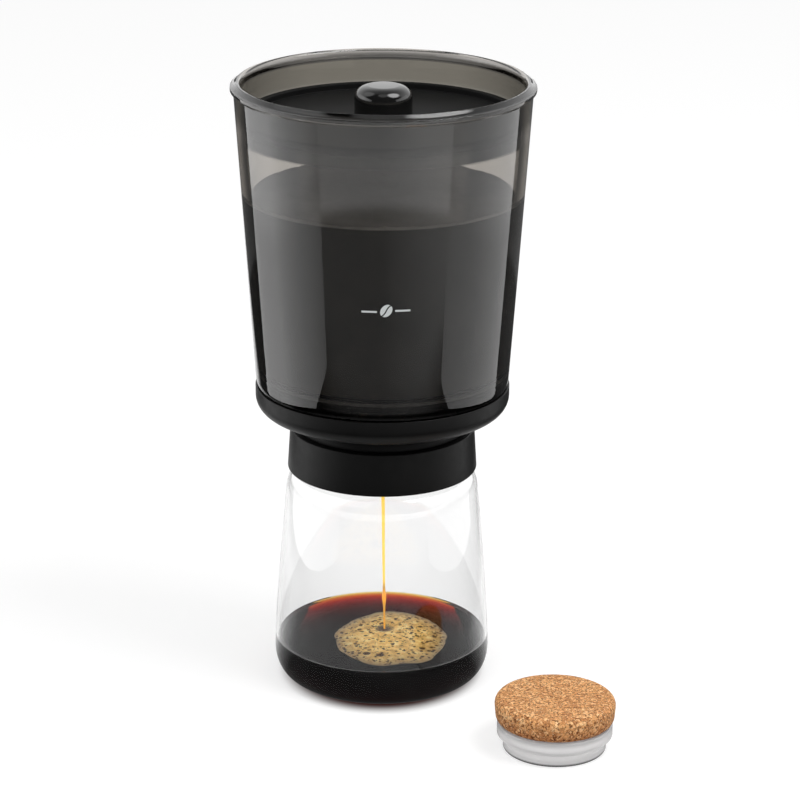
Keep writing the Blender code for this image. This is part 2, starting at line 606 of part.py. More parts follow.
def make_filter(parent, finishes):
    """Filter: a spoked frame on a windowed foot, the mesh, its clamp ring and the wall gasket."""
    wall = container_radius(FILTER_RING_BOTTOM) - CONTAINER_WALL - TOUCH_GAP
    ring_radius = wall - FILTER_GASKET_WIDTH / 2
    ring_bore = ring_radius - FILTER_RING_WIDTH
    foot_radius = container_foot_centre()[0].x - FILTER_FOOT_INSET
    foot_bore = foot_radius - FILTER_FOOT_WALL
    groove = ring_radius - FILTER_GASKET_WIDTH / 2
    gasket_bottom = FILTER_RING_BOTTOM + (FILTER_RING_HEIGHT - FILTER_GASKET_HEIGHT) / 2
    groove_bottom = gasket_bottom - TOUCH_GAP
    groove_top = gasket_bottom + FILTER_GASKET_HEIGHT + TOUCH_GAP
    outline = plain((ring_bore, FILTER_RING_BOTTOM),
                    (ring_radius, FILTER_RING_BOTTOM),
                    (ring_radius, groove_bottom),
                    (groove, groove_bottom),
                    (groove, groove_top),
                    (ring_radius, groove_top),
                    (ring_radius, FILTER_RING_TOP),
                    (ring_bore, FILTER_RING_TOP))
    frame = piece("filter_frame", turned("filter_frame", outline, WIDE_SEGMENTS), parent, finishes["black"])
    spoke_top = FILTER_RING_BOTTOM + FILTER_SPOKE_HEIGHT
    foot = ring("filter_foot", foot_bore, foot_radius, FILTER_FOOT_BOTTOM,
                spoke_top - FILTER_FOOT_SINK, WIDE_SEGMENTS)
    hub = disc("filter_hub", FILTER_HUB_RADIUS, FILTER_RING_BOTTOM, spoke_top, SMALL_SEGMENTS)
    combine(frame, hub, "UNION")
    spoke_length = ring_bore + FILTER_RING_WIDTH / 4 - FILTER_HUB_RADIUS / 2
    for angle in round_angles(FILTER_SPOKES):
        spoke = bar("filter_spoke", FILTER_HUB_RADIUS / 2, spoke_length, FILTER_SPOKE_WIDTH,
                    FILTER_RING_BOTTOM, spoke_top, angle)
        combine(frame, spoke, "UNION")
    combine(frame, foot, "UNION")
    window_start = foot_bore - OVERRUN
    window_length = FILTER_FOOT_WALL + 2 * OVERRUN
    for angle in round_angles(FILTER_FOOT_WINDOWS, math.pi / FILTER_FOOT_WINDOWS):
        window = bar("filter_window", window_start, window_length, FILTER_WINDOW_WIDTH,
                     FILTER_FOOT_BOTTOM - OVERRUN, FILTER_FOOT_BOTTOM + FILTER_WINDOW_HEIGHT, angle)
        combine(frame, window, "DIFFERENCE")
    mesh_radius = ring_bore - TOUCH_GAP
    mesh = disc("filter_mesh", mesh_radius, FILTER_MESH_BOTTOM,
                FILTER_MESH_BOTTOM + FILTER_MESH_HEIGHT, WIDE_SEGMENTS)
    piece("filter_mesh", mesh, parent, finishes["steel"])
    clamp_bottom = FILTER_MESH_BOTTOM + FILTER_MESH_HEIGHT + TOUCH_GAP
    clamp = ring("filter_clamp_ring", mesh_radius - CLAMP_RING_WIDTH, mesh_radius, clamp_bottom,
                 clamp_bottom + CLAMP_RING_HEIGHT, WIDE_SEGMENTS)
    piece("filter_clamp_ring", clamp, parent, finishes["black"])
    gasket = ring("filter_gasket", groove + TOUCH_GAP, wall, gasket_bottom,
                  gasket_bottom + FILTER_GASKET_HEIGHT, WIDE_SEGMENTS)
    piece("filter_gasket", gasket, parent, finishes["silicone"])


def make_spreader(parent, finish):
    """Shallow dish on the mouth's ledge, with rings of holes that spread the poured water."""
    outer = mouth_radius(SPREADER_BOTTOM) - SLIDE_GAP
    rim_outer = mouth_radius(SPREADER_TOP) - SLIDE_GAP
    floor_top = SPREADER_BOTTOM + SPREADER_FLOOR
    outline = plain((0, SPREADER_BOTTOM),
                    (outer, SPREADER_BOTTOM),
                    (rim_outer, SPREADER_TOP),
                    (rim_outer - SPREADER_RIM, SPREADER_TOP),
                    (outer - SPREADER_RIM, floor_top),
                    (0, floor_top))
    dish = piece("water_spreader", turned("water_spreader", outline, WIDE_SEGMENTS), parent, finish)
    shape = bmesh.new()
    depth = SPREADER_FLOOR + 2 * OVERRUN
    middle = (SPREADER_BOTTOM + floor_top) / 2
    for row in range(1, SPREADER_ROWS + 1):
        for angle in round_angles(SPREADER_FIRST_ROW_HOLES * row):
            centre = Vector((math.cos(angle), math.sin(angle), 0)) * SPREADER_ROW_STEP * row
            place = Matrix.Translation(centre + Vector((0, 0, middle)))
            bmesh.ops.create_cone(shape, cap_ends=True, segments=SPREADER_HOLE_SIDES, depth=depth,
                                  radius1=SPREADER_HOLE_RADIUS, radius2=SPREADER_HOLE_RADIUS, matrix=place)
    combine(dish, mesh_from(shape, "spreader_holes"), "DIFFERENCE")


def make_lid(parent, finishes):
    """Lid with a raised rim, the gloss knob in its shallow moat, and the screw that holds it."""
    top = mouth_radius(LID_TOP) - SLIDE_GAP
    bottom = mouth_radius(LID_BOTTOM) - SLIDE_GAP
    moat = KNOB_RADIUS + LID_MOAT_WIDTH
    moat_floor = LID_FLOOR - LID_MOAT_DEPTH
    hole = SCREW_RADIUS + BORE_GAP
    corners = [(hole, LID_BOTTOM, 0),
               (bottom, LID_BOTTOM, 0),
               (top, LID_TOP, LID_ROUNDING),
               (top - LID_RIM_WIDTH, LID_TOP, LID_ROUNDING),
               (top - LID_RIM_WIDTH, LID_FLOOR, 0),
               (moat, LID_FLOOR, 0),
               (moat - LID_MOAT_DEPTH, moat_floor, 0),
               (hole, moat_floor, 0)]
    lid = turned("lid", rounded(corners, SMALL_ARC_STEPS), WIDE_SEGMENTS)
    piece("lid", lid, parent, finishes["black"])
    knob_top = KNOB_BOTTOM + KNOB_HEIGHT
    screw_end = LID_BOTTOM + SCREW_LENGTH
    shoulder = KNOB_RADIUS - KNOB_ROUNDING
    corners = [(hole, KNOB_BOTTOM, 0),
               (KNOB_RADIUS, KNOB_BOTTOM, 0),
               (KNOB_RADIUS, knob_top - KNOB_CROWN, KNOB_ROUNDING),
               (shoulder, knob_top, 0),
               (0, knob_top, 0),
               (0, screw_end + TOUCH_GAP, 0),
               (hole, screw_end + TOUCH_GAP, 0)]
    piece("lid_knob", turned("lid_knob", rounded(corners), MIDDLE_SEGMENTS), parent, finishes["gloss"])
    head_top = LID_BOTTOM - TOUCH_GAP
    outline = plain((0, head_top - SCREW_HEAD_HEIGHT),
                    (SCREW_HEAD_RADIUS, head_top - SCREW_HEAD_HEIGHT),
                    (SCREW_HEAD_RADIUS, head_top),
                    (SCREW_RADIUS, head_top),
                    (SCREW_RADIUS, screw_end),
                    (0, screw_end))
    piece("knob_screw", turned("knob_screw", outline, SMALL_SEGMENTS), parent, finishes["steel"])


def make_stopper(parent, finishes):
    """Cork stopper: a cork cap, the silicone plug under it and the core that joins the two."""
    hole = CORE_SPIGOT_RADIUS + TOUCH_GAP
    hole_top = CORK_BOTTOM + CORE_SPIGOT_HEIGHT + TOUCH_GAP
    cork_top = CORK_BOTTOM + CORK_HEIGHT
    corners = [(hole, CORK_BOTTOM, 0),
               (CORK_RADIUS, CORK_BOTTOM, CORK_ROUNDING),
               (CORK_RADIUS, cork_top, CORK_ROUNDING),
               (0, cork_top, 0),
               (0, hole_top, 0),
               (hole, hole_top, 0)]
    piece("stopper_cork", turned("stopper_cork", rounded(corners), WIDE_SEGMENTS), parent, finishes["cork"])
    foot_bore = SEAL_FOOT_RADIUS - SEAL_WALL
    step_top = SEAL_STEP_HEIGHT + SEAL_RADIUS - SEAL_FOOT_RADIUS
    corners = [(0, 0, 0),
               (SEAL_FOOT_RADIUS, 0, SEAL_ROUNDING),
               (SEAL_FOOT_RADIUS, SEAL_STEP_HEIGHT, 0),
               (SEAL_RADIUS, step_top, SEAL_ROUNDING),
               (SEAL_RADIUS, SEAL_TOP, SEAL_ROUNDING),
               (foot_bore, SEAL_TOP, 0),
               (foot_bore, SEAL_WALL, 0),
               (0, SEAL_WALL, 0)]
    seal = turned("stopper_seal", rounded(corners, SMALL_ARC_STEPS), WIDE_SEGMENTS)
    piece("stopper_seal", seal, parent, finishes["clear_silicone"])
    core_radius = foot_bore - TOUCH_GAP
    outline = plain((0, SEAL_WALL + TOUCH_GAP),
                    (core_radius, SEAL_WALL + TOUCH_GAP),
                    (core_radius, SEAL_TOP),
                    (CORE_SPIGOT_RADIUS, SEAL_TOP),
                    (CORE_SPIGOT_RADIUS, CORK_BOTTOM + CORE_SPIGOT_HEIGHT),
                    (0, CORK_BOTTOM + CORE_SPIGOT_HEIGHT))
    piece("stopper_core", turned("stopper_core", outline, MIDDLE_SEGMENTS), parent, finishes["white"])


def build():
    """Makes every piece under the empty of the body that it moves with."""
    for old in list(bpy.data.objects):
        bpy.data.objects.remove(old)
    finishes = {
        "glass": material("clear_glass", (0.90, 0.92, 0.92), 0.03, alpha=0.3),
        "tint": material("smoke_tint", (0.10, 0.10, 0.095), 0.05, alpha=0.6),
        "black": material("satin_black", (0.022, 0.022, 0.022), 0.45),
        "gloss": material("gloss_black", (0.010, 0.010, 0.010), 0.12),
        "silicone": material("grey_silicone", (0.16, 0.16, 0.16), 0.60),
        "clear_silicone": material("clear_silicone", (0.62, 0.63, 0.62), 0.35, alpha=0.8),
        "steel": material("stainless_steel", (0.60, 0.60, 0.58), 0.30, metallic=1.0),
        "cork": material("cork", (0.55, 0.33, 0.17), 0.85),
        "white": material("white_plastic", (0.75, 0.75, 0.73), 0.40),
    }
    carafe = group("carafe")
    brewer = group("brewer")
    make_carafe(carafe, finishes["glass"])
    make_container(brewer, finishes["tint"])
    make_cup(brewer, finishes["black"])
    make_collar(brewer, finishes["black"])
    make_drain(brewer, finishes)
    make_spring(brewer, finishes["steel"])
    make_valve(group("valve"), finishes)
    make_filter(group("filter"), finishes)
    make_spreader(group("spreader"), finishes["black"])
    make_lid(group("lid_group"), finishes)
    make_stopper(group("stopper", (STOPPER_X, STOPPER_Y, 0)), finishes)


build()
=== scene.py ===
"""Cold brew coffee maker, dressed for its studio photograph.

Lengths are in metres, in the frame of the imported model: the origin is the centre of the carafe's
flat bottom, +Z is up and -Y faces the camera.
"""

import json
import math
import random

import bmesh
import bpy
from mathutils import Matrix, Vector, noise


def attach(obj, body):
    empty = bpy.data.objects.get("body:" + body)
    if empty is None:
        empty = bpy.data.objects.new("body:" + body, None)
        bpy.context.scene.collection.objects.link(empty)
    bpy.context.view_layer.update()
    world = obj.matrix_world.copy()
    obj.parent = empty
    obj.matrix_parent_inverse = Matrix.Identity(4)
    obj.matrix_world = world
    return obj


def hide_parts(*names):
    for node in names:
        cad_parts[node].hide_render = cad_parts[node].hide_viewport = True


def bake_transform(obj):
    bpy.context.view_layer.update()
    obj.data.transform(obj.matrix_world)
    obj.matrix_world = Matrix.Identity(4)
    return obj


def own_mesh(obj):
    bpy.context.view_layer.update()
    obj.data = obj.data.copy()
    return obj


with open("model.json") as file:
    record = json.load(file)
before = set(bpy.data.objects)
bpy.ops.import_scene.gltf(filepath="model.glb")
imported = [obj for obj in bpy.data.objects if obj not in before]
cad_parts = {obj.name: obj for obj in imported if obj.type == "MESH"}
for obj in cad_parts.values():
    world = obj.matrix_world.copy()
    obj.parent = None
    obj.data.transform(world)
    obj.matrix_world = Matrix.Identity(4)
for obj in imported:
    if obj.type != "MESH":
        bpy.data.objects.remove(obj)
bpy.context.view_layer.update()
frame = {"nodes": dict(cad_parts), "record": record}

# Camera and studio
CAMERA_PLACE = (0.0085, -1.449, 0.6356)
CAMERA_TILT = math.radians(71.12)
CAMERA_ROLL = 0.0054
CAMERA_LENS = 142.6
FLOOR_REACH = 6.0
SWEEP_LEFT = -0.21
SWEEP_RIGHT = 0.12
SWEEP_FRONT = 0.03
SWEEP_FADE = 0.05
SEEN_THROUGH = 0.33
SEEN_THROUGH_END = 0.60
APRON_START = 0.61
APRON_END = 0.645
APRON_LEVEL = 1.15
APRON_BACK = (-0.3, -0.2)
APRON_BACK_LEVEL = 0.08
GROUND_ASIDE = (0.0, 0.4)
GROUND_LEVELS = (0.35, 0.98)
GROUND_REACH = (0.25, 0.36)
GROUND_NEAR_LEVEL = 0.20
RING_INNER = (0.095, 0.125)
RING_OUTER = (0.17, 0.24)
RING_LEVELS = (0.10, 0.26)
# Painted contact shadow on the floor under the carafe
CONTACT_SHADOW_START = 0.0455
CONTACT_SHADOW_END = 0.0595
CONTACT_SHADOW_LEVEL = 0.005
CONTACT_SHADOW_NARROWING = (1.13, 1.0, 1.0)
CONTACT_SHADOW_GLOW = 0.5
FLOOR_GLOW = 0.6
BACKDROP_START = (-0.25, 0.10)
BACKDROP_HEIGHT = (0.50, 0.96)
BACKDROP_LEVELS = (1.35, 0.42)
DARK_STUDIO_LEVEL = 0.03
SOFT_LIGHT_LEVEL = 0.62
OVERHEAD_CORE = 0.975
OVERHEAD_SOFTBOXES = (((-0.62, 0.10, 0.77), 1.6, 0.93), ((0.50, -0.20, 0.84), 8.0, 0.925),
                      ((0.0, -0.36, 0.93), 0.9, 0.95))
SOFTBOX_SIDE = 0.27
SOFTBOX_BOTTOM = 0.002
SOFTBOX_TOP = 0.42
SOFTBOX_FALL_REACH = 0.12
SOFTBOX_RISE = (0.13, 0.17)
SOFTBOX_UPPER_SHARE = 1.3
LEFT_SOFTBOX_REACH = (-0.250, 0.170)
RIGHT_SOFTBOX_REACH = (-0.220, 0.143)
LEFT_SOFTBOX_LEVELS = (0.95, 2.4)
RIGHT_SOFTBOX_LEVELS = (1.15, 1.6)
LEFT_SOFTBOX_FALL = 0.65
RIGHT_SOFTBOX_FALL = 0.95
KEY_LAMP_PLACE = (0.9, -0.5, 1.6)
KEY_LAMP_SIZE = 0.8
KEY_LAMP_POWER = 14
FILL_LAMP_PLACE = (-0.8, -0.9, 1.2)
FILL_LAMP_SIZE = 1.2
FILL_LAMP_POWER = 6
LAMP_AIM = (0, 0, 0.1)

# Fineness
ROUND_SEGMENTS = 160
SMALL_SEGMENTS = 64
ARC_STEPS = 8
SMOOTH_ANGLE = math.radians(32)
TOUCH_GAP = 0.0003
SLIDE_GAP = 0.0004

# Glass carafe
CARAFE_BODY_RADIUS = 0.0527
CARAFE_BODY_HEIGHT = 0.0140
CARAFE_WALL = 0.0014
CARAFE_HEEL_WIDTH = 0.0087
CARAFE_SIDE_TAPER = 0.0061
CARAFE_SIDE_BEND = 1.3
CARAFE_SIDE_STEPS = 24
CARAFE_SHOULDER_HEIGHT = 0.0975
CARAFE_SHOULDER_ROUNDING = 0.0120
CARAFE_SHOULDER_TURN = math.radians(68)
CARAFE_SHOULDER_RISE = 0.0162
CARAFE_NECK_RADIUS = 0.0292
CARAFE_NECK_HEIGHT = 0.0108
CARAFE_NECK_ROUNDING = 0.0022
CARAFE_LIP_PROUD = 0.0018
CARAFE_LIP_HEIGHT = 0.0036
CARAFE_LIP_ROUNDING = 0.0011
CARAFE_HEIGHT = CARAFE_SHOULDER_HEIGHT + CARAFE_SHOULDER_RISE + CARAFE_NECK_HEIGHT

# Brewing container
CONTAINER_BOTTOM = 0.1397
CONTAINER_HEIGHT = 0.15825
CONTAINER_TOP = CONTAINER_BOTTOM + CONTAINER_HEIGHT
CONTAINER_TOP_RADIUS = 0.0707
CONTAINER_FOOT_RADIUS = 0.0601
CONTAINER_FOOT_ROUNDING = 0.0150
CONTAINER_WALL = 0.0044
CONTAINER_MOUTH_WALL = 0.0037
FLANGE_PROUD = 0.0012
FLANGE_HEIGHT = 0.0054
FLANGE_UNDERCUT = 0.0015
FLANGE_SLOPE = 0.0023
FLANGE_ROUNDING = 0.0004
CROWN_RADIUS = 0.0690
CROWN_STEP = 0.0003
CROWN_ROUNDING = 0.00028
CROWN_INNER_WIDTH = 0.0016
CROWN_INNER_HEIGHT = 0.0027
COVE_STEPS = 6
MOUTH_LEDGE = 0.2715
DRAIN_HOLE_RADIUS = 0.0124
MOUTH_TINT_START = 0.0040
MOUTH_TINT_END = 0.0010
# Painted shade on the mouth's inner sides
MOUTH_SIDE_SHADE = (0.036, 0.066)
MOUTH_SIDE_SHADE_SHARE = 0.62
MOUTH_SKIN = (0.0016, 0.0010)
# Painted shade in the flange's cove
FLANGE_SHADE = (0.0050, 0.0045)
FLANGE_SHADE_EDGE = 0.0002
# Painted highlight along the crown and painted shade below it
CROWN_LIGHT_AND_SHADE_EDGE = 0.0003
DRY_IOR = 1.5
WETTED_IOR = 1.128

# Drain base
CUP_BOTTOM = 0.1363
CUP_INSIDE = 0.1394
CUP_RIM = 0.1495
CUP_RADIUS = 0.0612
CUP_ROUNDING = 0.0080
CUP_RIM_ROUNDING = 0.0003
SEAT_BOSS_BOTTOM = 0.1276
SEAT_BOSS_RADIUS = 0.0338
SEAT_BOSS_BORE = 0.0293
NECK_BOTTOM = 0.1281
NECK_RADIUS = 0.0415
NECK_BORE = 0.0389
NECK_ROUNDING = 0.0058
# Painted highlight round the cup's foot
CUP_HIGHLIGHT_RISE = 0.0020
CUP_HIGHLIGHT_FALL = (0.0042, 0.0066)
COLLAR_TOP = 0.1278
COLLAR_BOTTOM = 0.1070
COLLAR_RADIUS = 0.0459
COLLAR_TOP_RADIUS = 0.0446
COLLAR_WALL = 0.0022
COLLAR_ROUNDING = 0.0008
COLLAR_SPIGOT_HEIGHT = 0.0050
COLLAR_SPIGOT_WALL = 0.0024

# Valve spring
SPRING_BOTTOM = 0.1274
SPRING_TOP = 0.1341
SPRING_RADIUS = 0.0041
SPRING_WIRE = 0.00030
SPRING_TURNS = 4
SPRING_TURN_POINTS = 20
SPRING_WIRE_SIDES = 8

# Woven filter cloth
WEAVE_PITCH = 0.0006

# Water spreader and lid
LID_TOP = 0.2823
LID_BOTTOM = 0.2775
LID_FLOOR = 0.2793
LID_RIM_WIDTH = 0.0036
LID_ROUNDING = 0.0006
LID_MOAT_DEPTH = 0.0007
LID_MOAT_RADIUS = 0.0167
LID_HOLE_RADIUS = 0.0018
KNOB_BOTTOM = 0.2789
KNOB_TOP = 0.2956
KNOB_RADIUS = 0.0137
KNOB_ROUNDING = 0.0062
KNOB_CROWN = 0.0012
KNOB_HOLE_TOP = 0.2868

# Cork stopper
STOPPER_PLACE = (0.0819, -0.0913, 0.0)
CORK_BOTTOM = 0.0133
CORK_TOP = 0.0251
CORK_RADIUS = 0.0287
CORK_ROUNDING = 0.0034
CORK_TAPER = 0.0010
CORK_ROUGHNESS = 0.00016
SEAL_RADIUS = 0.0271
SEAL_TOP = 0.0130
SEAL_WALL = 0.0024
SEAL_FOOT_RADIUS = 0.0242
SEAL_STEP_HEIGHT = 0.0063
SEAL_STEP_RISE = 0.0008
SEAL_ROUNDING = 0.0009
# Painted shade on the plug: under the cork, at its foot and along its step
SEAL_TOP_SHADE = (0.0098, 0.0128)
SEAL_FOOT_SHADE = (0.0007, 0.0017)
SEAL_STEP_SHADE = (0.0003, 0.0007)
CORE_SPIGOT_RADIUS = 0.0080
CORE_SPIGOT_TOP = 0.0195

# Coffee grounds, brewed coffee, its stream and foam
GROUNDS_BOTTOM = 0.1603
GROUNDS_TOP = 0.2452
GROUNDS_UNEVEN = 0.0005
GROUNDS_SIDE_STEP = 0.004
GROUNDS_TOP_STEP = 0.0012
GROUNDS_CRUST = (0.0022, 0.0016)
# Painted shade across the grounds' top, from front to back
GROUNDS_SHADE_FRONT = -0.035
GROUNDS_SHADE_BACK = 0.020
COFFEE_TOP = 0.0195
COFFEE_MENISCUS = 0.0006
COFFEE_MENISCUS_WIDTH = 0.0022
CONTENTS_GAP = 0.00008
STREAM_TOP = 0.1187
STREAM_TOP_RADIUS = 0.00112
STREAM_END_RADIUS = 0.00045
STREAM_BULGE = 0.00055
STREAM_BULGE_HEIGHT = 0.0362
STREAM_BULGE_REACH = 0.0035
STREAM_SWAY = 0.0006
STREAM_UNEVEN_SHARE = 0.25
STREAM_STEPS = 60
STREAM_SEGMENTS = 16
FOAM_PLACE = (0.0051, -0.0084)
FOAM_HALF_SIZE = (0.0276, 0.0330)
FOAM_HEIGHT = 0.0016
FOAM_CRATER = (0.0014, 0.0030)
FOAM_CRATER_RADIUS = 0.0060
FOAM_CRATER_DEPTH = 0.0013
FOAM_BUBBLES = 720
FOAM_FINE = (0.00024, 0.00042)
FOAM_COARSE = (0.00050, 0.00105)
FOAM_FINE_SHARE = 0.62
FOAM_CELL = 0.0024
FOAM_RINGS = 110
FOAM_SEGMENTS = 300
FOAM_UNEVEN_SHARES = ((0.09, 1.8), (0.015, 6), (0.010, 22))
FOAM_SEED = 7
FOAM_LARGE_BUBBLES = ((-0.0070, -0.0290, 0.0021), (-0.0005, -0.0312, 0.0022), (0.0200, -0.0230, 0.0016),
                      (0.0190, 0.0040, 0.0014), (-0.0110, 0.0000, 0.0013), (0.0262, -0.0080, 0.0013))

# Printed marks on the container's front
MARK_HEIGHT = 0.2051
MARK_RAISE = 0.00005
MARK_THICKNESS = 0.00004
DASH_WIDTH = 0.0009
LEFT_DASH = (-0.0094, -0.0023, 0.2046)
RIGHT_DASH = (0.0061, 0.0131, 0.2051)
BEAN_CENTRE = 0.0020
BEAN_LENGTH = 0.0066
BEAN_BREADTH = 0.0050
BEAN_TILT = math.radians(52)
BEAN_SPLIT = 0.00060
BEAN_CURL_SHARE = 0.05
DASH_STEPS = 12
BEAN_STEPS = 28


def container_radius(height):
    """Radius of the container's outer wall at a height."""
    share = (height - CONTAINER_BOTTOM) / CONTAINER_HEIGHT
    return CONTAINER_FOOT_RADIUS + (CONTAINER_TOP_RADIUS - CONTAINER_FOOT_RADIUS) * share


def mouth_radius(height):
    """Inner radius of the container's mouth."""
    return container_radius(height) - CONTAINER_MOUTH_WALL


def container_foot_centre():
    """Centre of the container's foot rounding, and the lean of its wall."""
    lean = math.atan2(CONTAINER_TOP_RADIUS - CONTAINER_FOOT_RADIUS, CONTAINER_HEIGHT)
    height = CONTAINER_BOTTOM + CONTAINER_FOOT_ROUNDING
    return Vector((container_radius(height) - CONTAINER_FOOT_ROUNDING / math.cos(lean), height)), lean


def mesh_from(shape, name):
    """A mesh with its doubles merged and its faces pointing out."""
    bmesh.ops.remove_doubles(shape, verts=shape.verts, dist=TOUCH_GAP / ROUND_SEGMENTS)
    bmesh.ops.recalc_face_normals(shape, faces=shape.faces)
    made = bpy.data.meshes.new(name)
    shape.to_mesh(made)
    shape.free()
    return made


def place(name, mesh, finish, body, slot, *nodes):
    """Puts a finished mesh into the scene, riding on its body, in the place of its CAD nodes."""
    mesh.materials.clear()
    mesh.materials.append(finish)
    mesh.shade_smooth()
    mesh.set_sharp_from_angle(angle=SMOOTH_ANGLE)
    made = bpy.data.objects.new(name, mesh)
    bpy.context.scene.collection.objects.link(made)
    ride_as(made, body, slot, *nodes)
    return made


def ride_as(made, body, slot, *nodes):
    """Attaches a piece to its body and hides its CAD nodes; the slot, the record's finish, is not used."""
    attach(made, body)
    if nodes:
        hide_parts(*nodes)


def turned_by(vector, angle):
    """The vector turned clockwise, as angle_signed counts it."""
    return Vector((vector.x * math.cos(angle) + vector.y * math.sin(angle),
                   vector.y * math.cos(angle) - vector.x * math.sin(angle)))


def rounded(corners, steps=ARC_STEPS):
    """The outline through (radius, height, rounding) corners, with an arc at each rounded one."""
    outline = []
    for index, (radius, height, rounding) in enumerate(corners):
        here = Vector((radius, height))
        if rounding == 0:
            outline.append(here)
            continue
        before = Vector(corners[index - 1][:2]) - here
        after = Vector(corners[(index + 1) % len(corners)][:2]) - here
        half = before.angle(after) / 2
        setback = rounding / math.tan(half)
        centre = here + (before.normalized() + after.normalized()).normalized() * rounding / math.sin(half)
        start = here + before.normalized() * setback - centre
        end = here + after.normalized() * setback - centre
        turn = start.angle_signed(end)
        count = max(2, round(abs(turn) / math.radians(90) * steps))
        outline += [centre + turned_by(start, turn * step / count) for step in range(count + 1)]
    return outline


def arc(centre, radius, start, end, steps=ARC_STEPS):
    """Points on an arc from one angle to another, both counted from the outward direction."""
    return [centre + radius * Vector((math.cos(start + (end - start) * step / steps),
                                      math.sin(start + (end - start) * step / steps)))
            for step in range(steps + 1)]


def offset(outline, distance):
    """The outline moved to its left by a distance, with both ends kept square."""
    moved = []
    for index, point in enumerate(outline):
        into = (point - outline[index - 1]).normalized() if index > 0 else None
        out = (outline[index + 1] - point).normalized() if index + 1 < len(outline) else None
        into = into or out
        out = out or into
        normal = Vector((-into.y - out.y, into.x + out.x)).normalized()
        moved.append(point + normal * distance / Vector((-into.y, into.x)).dot(normal))
    return moved


def divided(outline, longest):
    """The outline with its long edges cut up."""
    points = [outline[0]]
    for before, after in zip(outline, outline[1:]):
        count = max(1, math.ceil((after - before).length / longest))
        points += [before.lerp(after, step / count) for step in range(1, count + 1)]
    return points


def turned(name, outline, segments=ROUND_SEGMENTS, at=(0, 0, 0), inner=0):
    """A solid turned about a vertical axis. An outline that leaves the axis closes on itself.
    The last points, as many as inner says, are marked as its inside."""
    shape = bmesh.new()
    mark = shape.verts.layers.float.new("inside")
    verts = [shape.verts.new((point.x, 0, point.y)) for point in outline]
    for vert in verts[len(verts) - inner:]:
        vert[mark] = 1.0
    edges = [shape.edges.new(pair) for pair in zip(verts, verts[1:])]
    if outline[0].x > 0 or outline[-1].x > 0:
        edges.append(shape.edges.new((verts[-1], verts[0])))
    bmesh.ops.spin(shape, geom=verts + edges, cent=(0, 0, 0), axis=(0, 0, 1),
                   angle=math.tau, steps=segments, use_merge=True)
    bmesh.ops.translate(shape, vec=at, verts=shape.verts)
    return mesh_from(shape, name)


def rough_up(mesh, height, scale, where=None):
    """Sinks a mesh's points along their normals by smooth noise, where a test says so."""
    moves = []
    for vert in mesh.vertices:
        if where and not where(vert.co):
            continue
        moves.append((vert, vert.normal * -abs(noise.noise(vert.co * scale)) * height))
    for vert, move in moves:
        vert.co += move
    mesh.update()


class Nodes:
    """A short way to write a node tree: each call adds a node and links what it is given."""

    def __init__(self, tree):
        self.tree = tree

    def add(self, kind, *inputs, **settings):
        node = self.tree.nodes.new(kind)
        named = settings.pop("inputs", {})
        for key, value in settings.items():
            setattr(node, key, value)
        for key, value in [*enumerate(inputs), *named.items()]:
            if isinstance(value, bpy.types.NodeSocket):
                self.tree.links.new(value, node.inputs[key])
            elif value is not None:
                node.inputs[key].default_value = value
        return node

    def math(self, operation, *inputs, clamp=False):
        return self.add("ShaderNodeMath", *inputs, operation=operation, use_clamp=clamp).outputs[0]

    def ramp(self, value, *stops):
        node = self.add("ShaderNodeValToRGB", value)
        elements = node.color_ramp.elements
        while len(elements) < len(stops):
            elements.new(0.5)
        for element, (position, color) in zip(elements, stops):
            element.position = position
            element.color = color
        return node.outputs["Color"]

    def range(self, value, low, high, to_low=0.0, to_high=1.0, smooth=False):
        kind = "SMOOTHSTEP" if smooth else "LINEAR"
        return self.add("ShaderNodeMapRange", value, low, high, to_low, to_high,
                        interpolation_type=kind, clamp=True).outputs[0]

    def noise(self, vector, scale, detail=4.0, roughness=0.55):
        return self.add("ShaderNodeTexNoise", vector, None, scale, detail, roughness).outputs["Fac"]

    def bump(self, height, strength, distance, normal=None):
        return self.add("ShaderNodeBump", inputs={"Strength": strength, "Distance": distance,
                                                  "Height": height, "Normal": normal}).outputs[0]

    def mix(self, factor, first, second, blend="MIX"):
        node = self.tree.nodes.new("ShaderNodeMix")
        node.data_type = "RGBA"
        node.blend_type = blend
        for socket, value in ((node.inputs[0], factor), (node.inputs[6], first), (node.inputs[7], second)):
            if isinstance(value, bpy.types.NodeSocket):
                self.tree.links.new(value, socket)
            else:
                socket.default_value = value
        return node.outputs[2]


def gray(level):
    """An opaque grey."""
    return (level, level, level, 1.0)


def rgb(red, green, blue):
    """An opaque colour."""
    return (red, green, blue, 1.0)


def material(name, **sockets):
    """A new material: its nodes, its shader with the given values set, and its Object coordinates."""
    made = bpy.data.materials.new(name)
    made.use_nodes = True
    nodes = Nodes(made.node_tree)
    shader = made.node_tree.nodes["Principled BSDF"]
    for key, value in sockets.items():
        socket = shader.inputs[key.replace("_", " ")]
        if isinstance(value, bpy.types.NodeSocket):
            made.node_tree.links.new(value, socket)
        else:
            socket.default_value = value
    where = nodes.add("ShaderNodeTexCoord").outputs["Object"]
    return made, nodes, shader, where


def link(nodes, socket, shader, name):
    """Links a value to one of the shader's sockets."""
    nodes.tree.links.new(socket, shader.inputs[name])


def absorbing(made, nodes, color, density):
    """Gives a material a clear, tinted inside."""
    inside = nodes.add("ShaderNodeVolumeAbsorption", color, density)
    output = made.node_tree.nodes["Material Output"]
    made.node_tree.links.new(inside.outputs[0], output.inputs["Volume"])


def polar(nodes, where):
    """Distance from the axis, and height."""
    parts = nodes.add("ShaderNodeSeparateXYZ", where).outputs
    across = nodes.math("SQRT", nodes.math("ADD", nodes.math("MULTIPLY", parts[0], parts[0]),
                                           nodes.math("MULTIPLY", parts[1], parts[1])))
    return across, parts[2]


